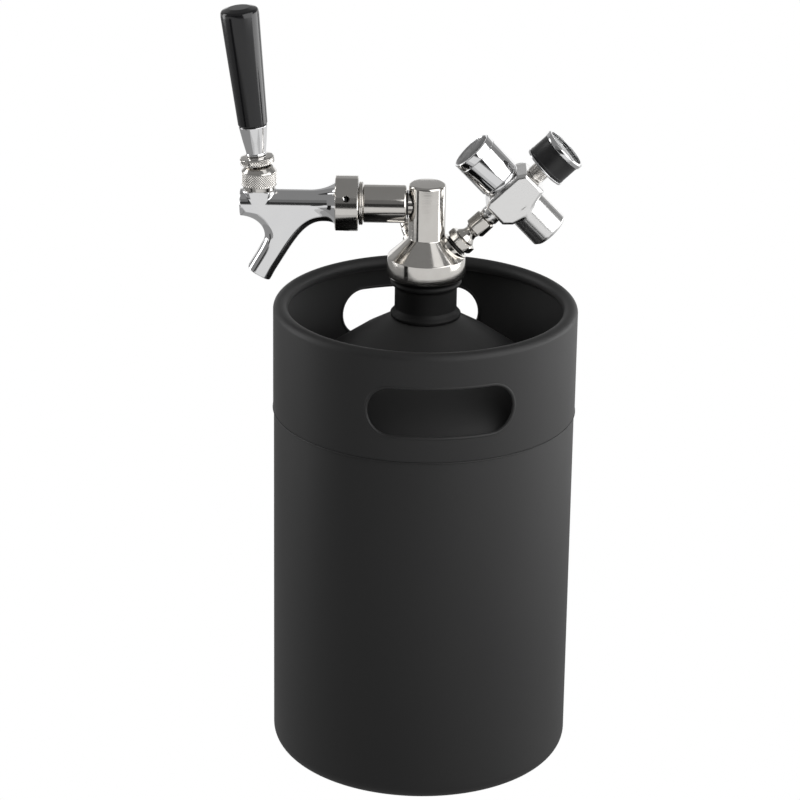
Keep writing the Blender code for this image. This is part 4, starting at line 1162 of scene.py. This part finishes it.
def make_dial_print():
    """Scale ring, ticks and plain numbers."""
    made = bmesh.new()
    for i in range(41):
        turn = DIAL_START - DIAL_SWEEP * i / 40
        main = i % 10 == 0
        half = i % 5 == 0
        inner = 0.0100 if main else 0.0108 if half else 0.0113
        dial_mark(made, turn, inner, 0.0121, 0.00042 if main else 0.00022)
    for label, share in zip(DIAL_LABELS, (0, 0.25, 0.5, 0.75, 1)):
        number = dial_number(label, DIAL_START - DIAL_SWEEP * share)
        made.from_mesh(number)
        bpy.data.meshes.remove(number)
    mesh = finished(made, "dial_print")
    put(mesh, "dial_print", AT_INLET @ Matrix.Translation((0, 0, PRINT_Z)), INK, "regulator")


def make_gauge():
    """Threaded stem, back plate, enamelled case, dial, lens and bezel."""
    stem = [(0.0010, 0.0254), (0.0058, 0.0254), (0.0062, 0.0250)]
    stem += thread(0.0062, 0.0182, 0.0249, 0.0011, 0.0005)
    stem += [(0.0057, 0.0176), (0.0045, 0.0176), (0.0045, 0.0105), (0.0010, 0.0105), (0.0010, 0.0254)]
    lathe("gauge_stem", rounded(stem, 0.0001, 1), AT_INLET, STEEL, "regulator", "gauge_stem", steps=72)
    low, high, edge = along("gauge_back_plate", AT_INLET)
    where = (AT_INLET, CHROME, "regulator", "gauge_back_plate")
    ring("gauge_plate", edge, 0.0014, low, high, *where, edge=0.0006)
    case = [(0.0133, 0.0410), (0.0143, 0.0410, 0.0002), (0.0143, 0.0402), (0.01415, 0.0400)]
    case.append((0.01415, 0.0290))
    case += [(0.0143, 0.0288), (0.0143, 0.0274, 0.0004), (0.0014, 0.0274), (0.0014, 0.0290), (0.0133, 0.0290)]
    case += [(0.0133, 0.0410)]
    lathe("gauge_case", rounded(case, 0.0001), AT_INLET, ENAMEL, "regulator", "gauge_case", steps=128)
    low, high, edge = along("gauge_dial", AT_INLET)
    ring("dial_plate", edge, 0.0011, low, high, AT_INLET, DIAL, "regulator", "gauge_dial", edge=0.0001)
    make_dial_print()
    low, high, edge = along("gauge_lens", AT_INLET)
    lens = [(0, high), (0.0131, high - 0.0001, 0.002), (edge, high - 0.0004, 0.0002), (edge, low), (0, low)]
    lathe("lens", rounded(lens), AT_INLET, LENS, "regulator", "gauge_lens", steps=128)
    bezel = [(0.0131, 0.0434), (0.0131, 0.0446, 0.0003), (0.0143, 0.0446, 0.0006), (0.0151, 0.0439, 0.0006)]
    bezel += [(0.0151, 0.0413, 0.0004), (0.0136, 0.0413), (0.0136, 0.0418), (0.0142, 0.0418)]
    bezel += [(0.0142, 0.0434), (0.0131, 0.0434)]
    lathe("bezel", rounded(bezel, 0.0001), AT_INLET, CHROME, "regulator", "gauge_bezel", steps=128)


make_gauge()


# ---------------------------------------------------------------- CAD nodes kept as they are
KEPT = {
    "dip_tube_fitting": STEEL,
    "dip_tube_o_ring": SEAL,
    "shank_o_ring": RUBBER,
    "faucet_washer": RUBBER,
    "ball_washer": SEAL,
    "lever_friction_ring": SEAL,
    "handle_stud": STEEL,
    "shaft_seat_washer": RUBBER,
    "check_valve_poppet": SEAL,
    "check_valve_spring": STEEL,
    "diaphragm": RUBBER,
    "adjust_spring": STEEL,
    "bourdon_tube": STEEL,
    "gauge_needle": INK,
    "relief_spring": STEEL,
}
for node, surface in KEPT.items():
    for place in frame["nodes"][node].material_slots:
        place.material = surface


# ---------------------------------------------------------------- studio
CAMERA_AT = Vector((0, -2.00517, 1.03040))
CAMERA_YAW = math.radians(-0.443)
CAMERA_PITCH = math.radians(21.486)
CAMERA_ROLL = math.radians(0.812)
CAMERA_LENS = 149.8
CENTRE = Vector((0, 0, 0.36))


def make_camera():
    """The camera at the photograph's angle."""
    ahead = Vector(
        (
            math.sin(CAMERA_YAW) * math.cos(CAMERA_PITCH),
            math.cos(CAMERA_YAW) * math.cos(CAMERA_PITCH),
            -math.sin(CAMERA_PITCH),
        )
    )
    right = Vector((math.cos(CAMERA_YAW), -math.sin(CAMERA_YAW), 0))
    up = right.cross(ahead)
    rolled_right = math.cos(CAMERA_ROLL) * right + math.sin(CAMERA_ROLL) * up
    rolled_up = -math.sin(CAMERA_ROLL) * right + math.cos(CAMERA_ROLL) * up
    data = bpy.data.cameras.new("camera")
    data.lens = CAMERA_LENS
    data.sensor_width = 36
    camera = bpy.data.objects.new("camera", data)
    camera.matrix_world = Matrix((rolled_right, rolled_up, -ahead)).transposed().to_4x4()
    camera.location = CAMERA_AT
    bpy.context.scene.collection.objects.link(camera)
    bpy.context.scene.camera = camera


def glow(name, level):
    """A plain even light grey for the stage, which gives its own light."""
    made = bpy.data.materials.new(name)
    made.use_nodes = True
    nodes = made.node_tree.nodes
    nodes.clear()
    light, out = nodes.new("ShaderNodeEmission"), nodes.new("ShaderNodeOutputMaterial")
    light.inputs["Color"].default_value = (1, 1, 1, 1)
    light.inputs["Strength"].default_value = level
    made.node_tree.links.new(light.outputs["Emission"], out.inputs["Surface"])
    return made


def stage_piece(name, mesh, surface, at, seen):
    """A part of the studio: seen says whether the camera sees it, or only the reflections."""
    mesh.materials.append(surface)
    piece = bpy.data.objects.new(name, mesh)
    bpy.context.scene.collection.objects.link(piece)
    piece.matrix_world = at
    piece.visible_camera = seen
    piece.visible_diffuse = not seen
    piece.visible_glossy = not seen
    piece.visible_transmission = True
    piece.visible_shadow = False


def sheet_mesh(name, size):
    made = bmesh.new()
    corners = ((-1, -1), (1, -1), (1, 1), (-1, 1))
    made.faces.new([made.verts.new((x * size[0] / 2, y * size[1] / 2, 0)) for x, y in corners])
    mesh = bpy.data.meshes.new(name)
    made.to_mesh(mesh)
    made.free()
    return mesh


def card(name, azimuth, elevation, distance, size, level):
    """A flat light or dark card facing the object; azimuth runs from the camera's side to the right."""
    a, e = math.radians(azimuth), math.radians(elevation)
    toward = Vector((math.sin(a) * math.cos(e), -math.cos(a) * math.cos(e), math.sin(e)))
    at = axis_frame(CENTRE + toward * distance, -toward, (math.cos(a), math.sin(a), 0))
    stage_piece(name, sheet_mesh(name, size), glow(name, level), at, False)


def make_studio():
    world = bpy.data.worlds.new("studio")
    bpy.context.scene.world = world
    world.use_nodes = True
    world.node_tree.nodes["Background"].inputs["Color"].default_value = (1, 1, 1, 1)
    world.node_tree.nodes["Background"].inputs["Strength"].default_value = 0.24
    stage_piece("floor", sheet_mesh("floor", (16, 16)), glow("floor", 1.0),
                Matrix.Translation((0, 0, -0.0004)), True)
    made = bmesh.new()
    bmesh.ops.create_uvsphere(made, u_segments=32, v_segments=16, radius=7.9)
    dome = bpy.data.meshes.new("backdrop")
    made.to_mesh(dome)
    made.free()
    stage_piece("backdrop", dome, glow("backdrop", 1.0), Matrix.Identity(4), True)
    stage_piece("bounce", sheet_mesh("bounce", (7, 7)), glow("bounce", 0.76),
                Matrix.Translation((0, 0, -0.0008)), False)
    stage_piece("bounce_mid", sheet_mesh("bounce_mid", (1.2, 1.2)), glow("bounce_mid", 0.55),
                Matrix.Translation((0, 0, -0.0007)), False)
    stage_piece("bounce_near", sheet_mesh("bounce_near", (0.8, 0.8)), glow("bounce_near", 0.34),
                Matrix.Translation((0, 0, -0.0005)), False)
    stage_piece("bounce_left", sheet_mesh("bounce_left", (1.2, 2.4)), glow("bounce_left", 0.28),
                Matrix.Translation((-0.98, 0.30, -0.0006)), False)
    card("back_wall", 180, 24, 2.2, (4.4, 1.2), 0.38)
    card("front_low", 0, 7, 2.5, (6.0, 0.80), 0.035)
    card("front_high", 0, 27, 2.6, (6.0, 1.10), 0.16)
    card("key_right", 54, 24, 1.5, (2.0, 1.5), 2.3)
    card("fill_right", 104, -8, 1.4, (1.5, 0.8), 3.0)
    card("left_strip", -104, 8, 1.5, (0.60, 1.4), 3.2)
    card("streak", 60, 62, 1.4, (0.5, 0.4), 1.0)
    card("back_low", 170, 2, 2.3, (4.0, 0.7), 1.1)
    card("dark_left", -60, -21, 0.85, (0.20, 0.55), 0.01)
    bpy.context.scene.view_settings.view_transform = "Standard"


make_camera()
make_studio()
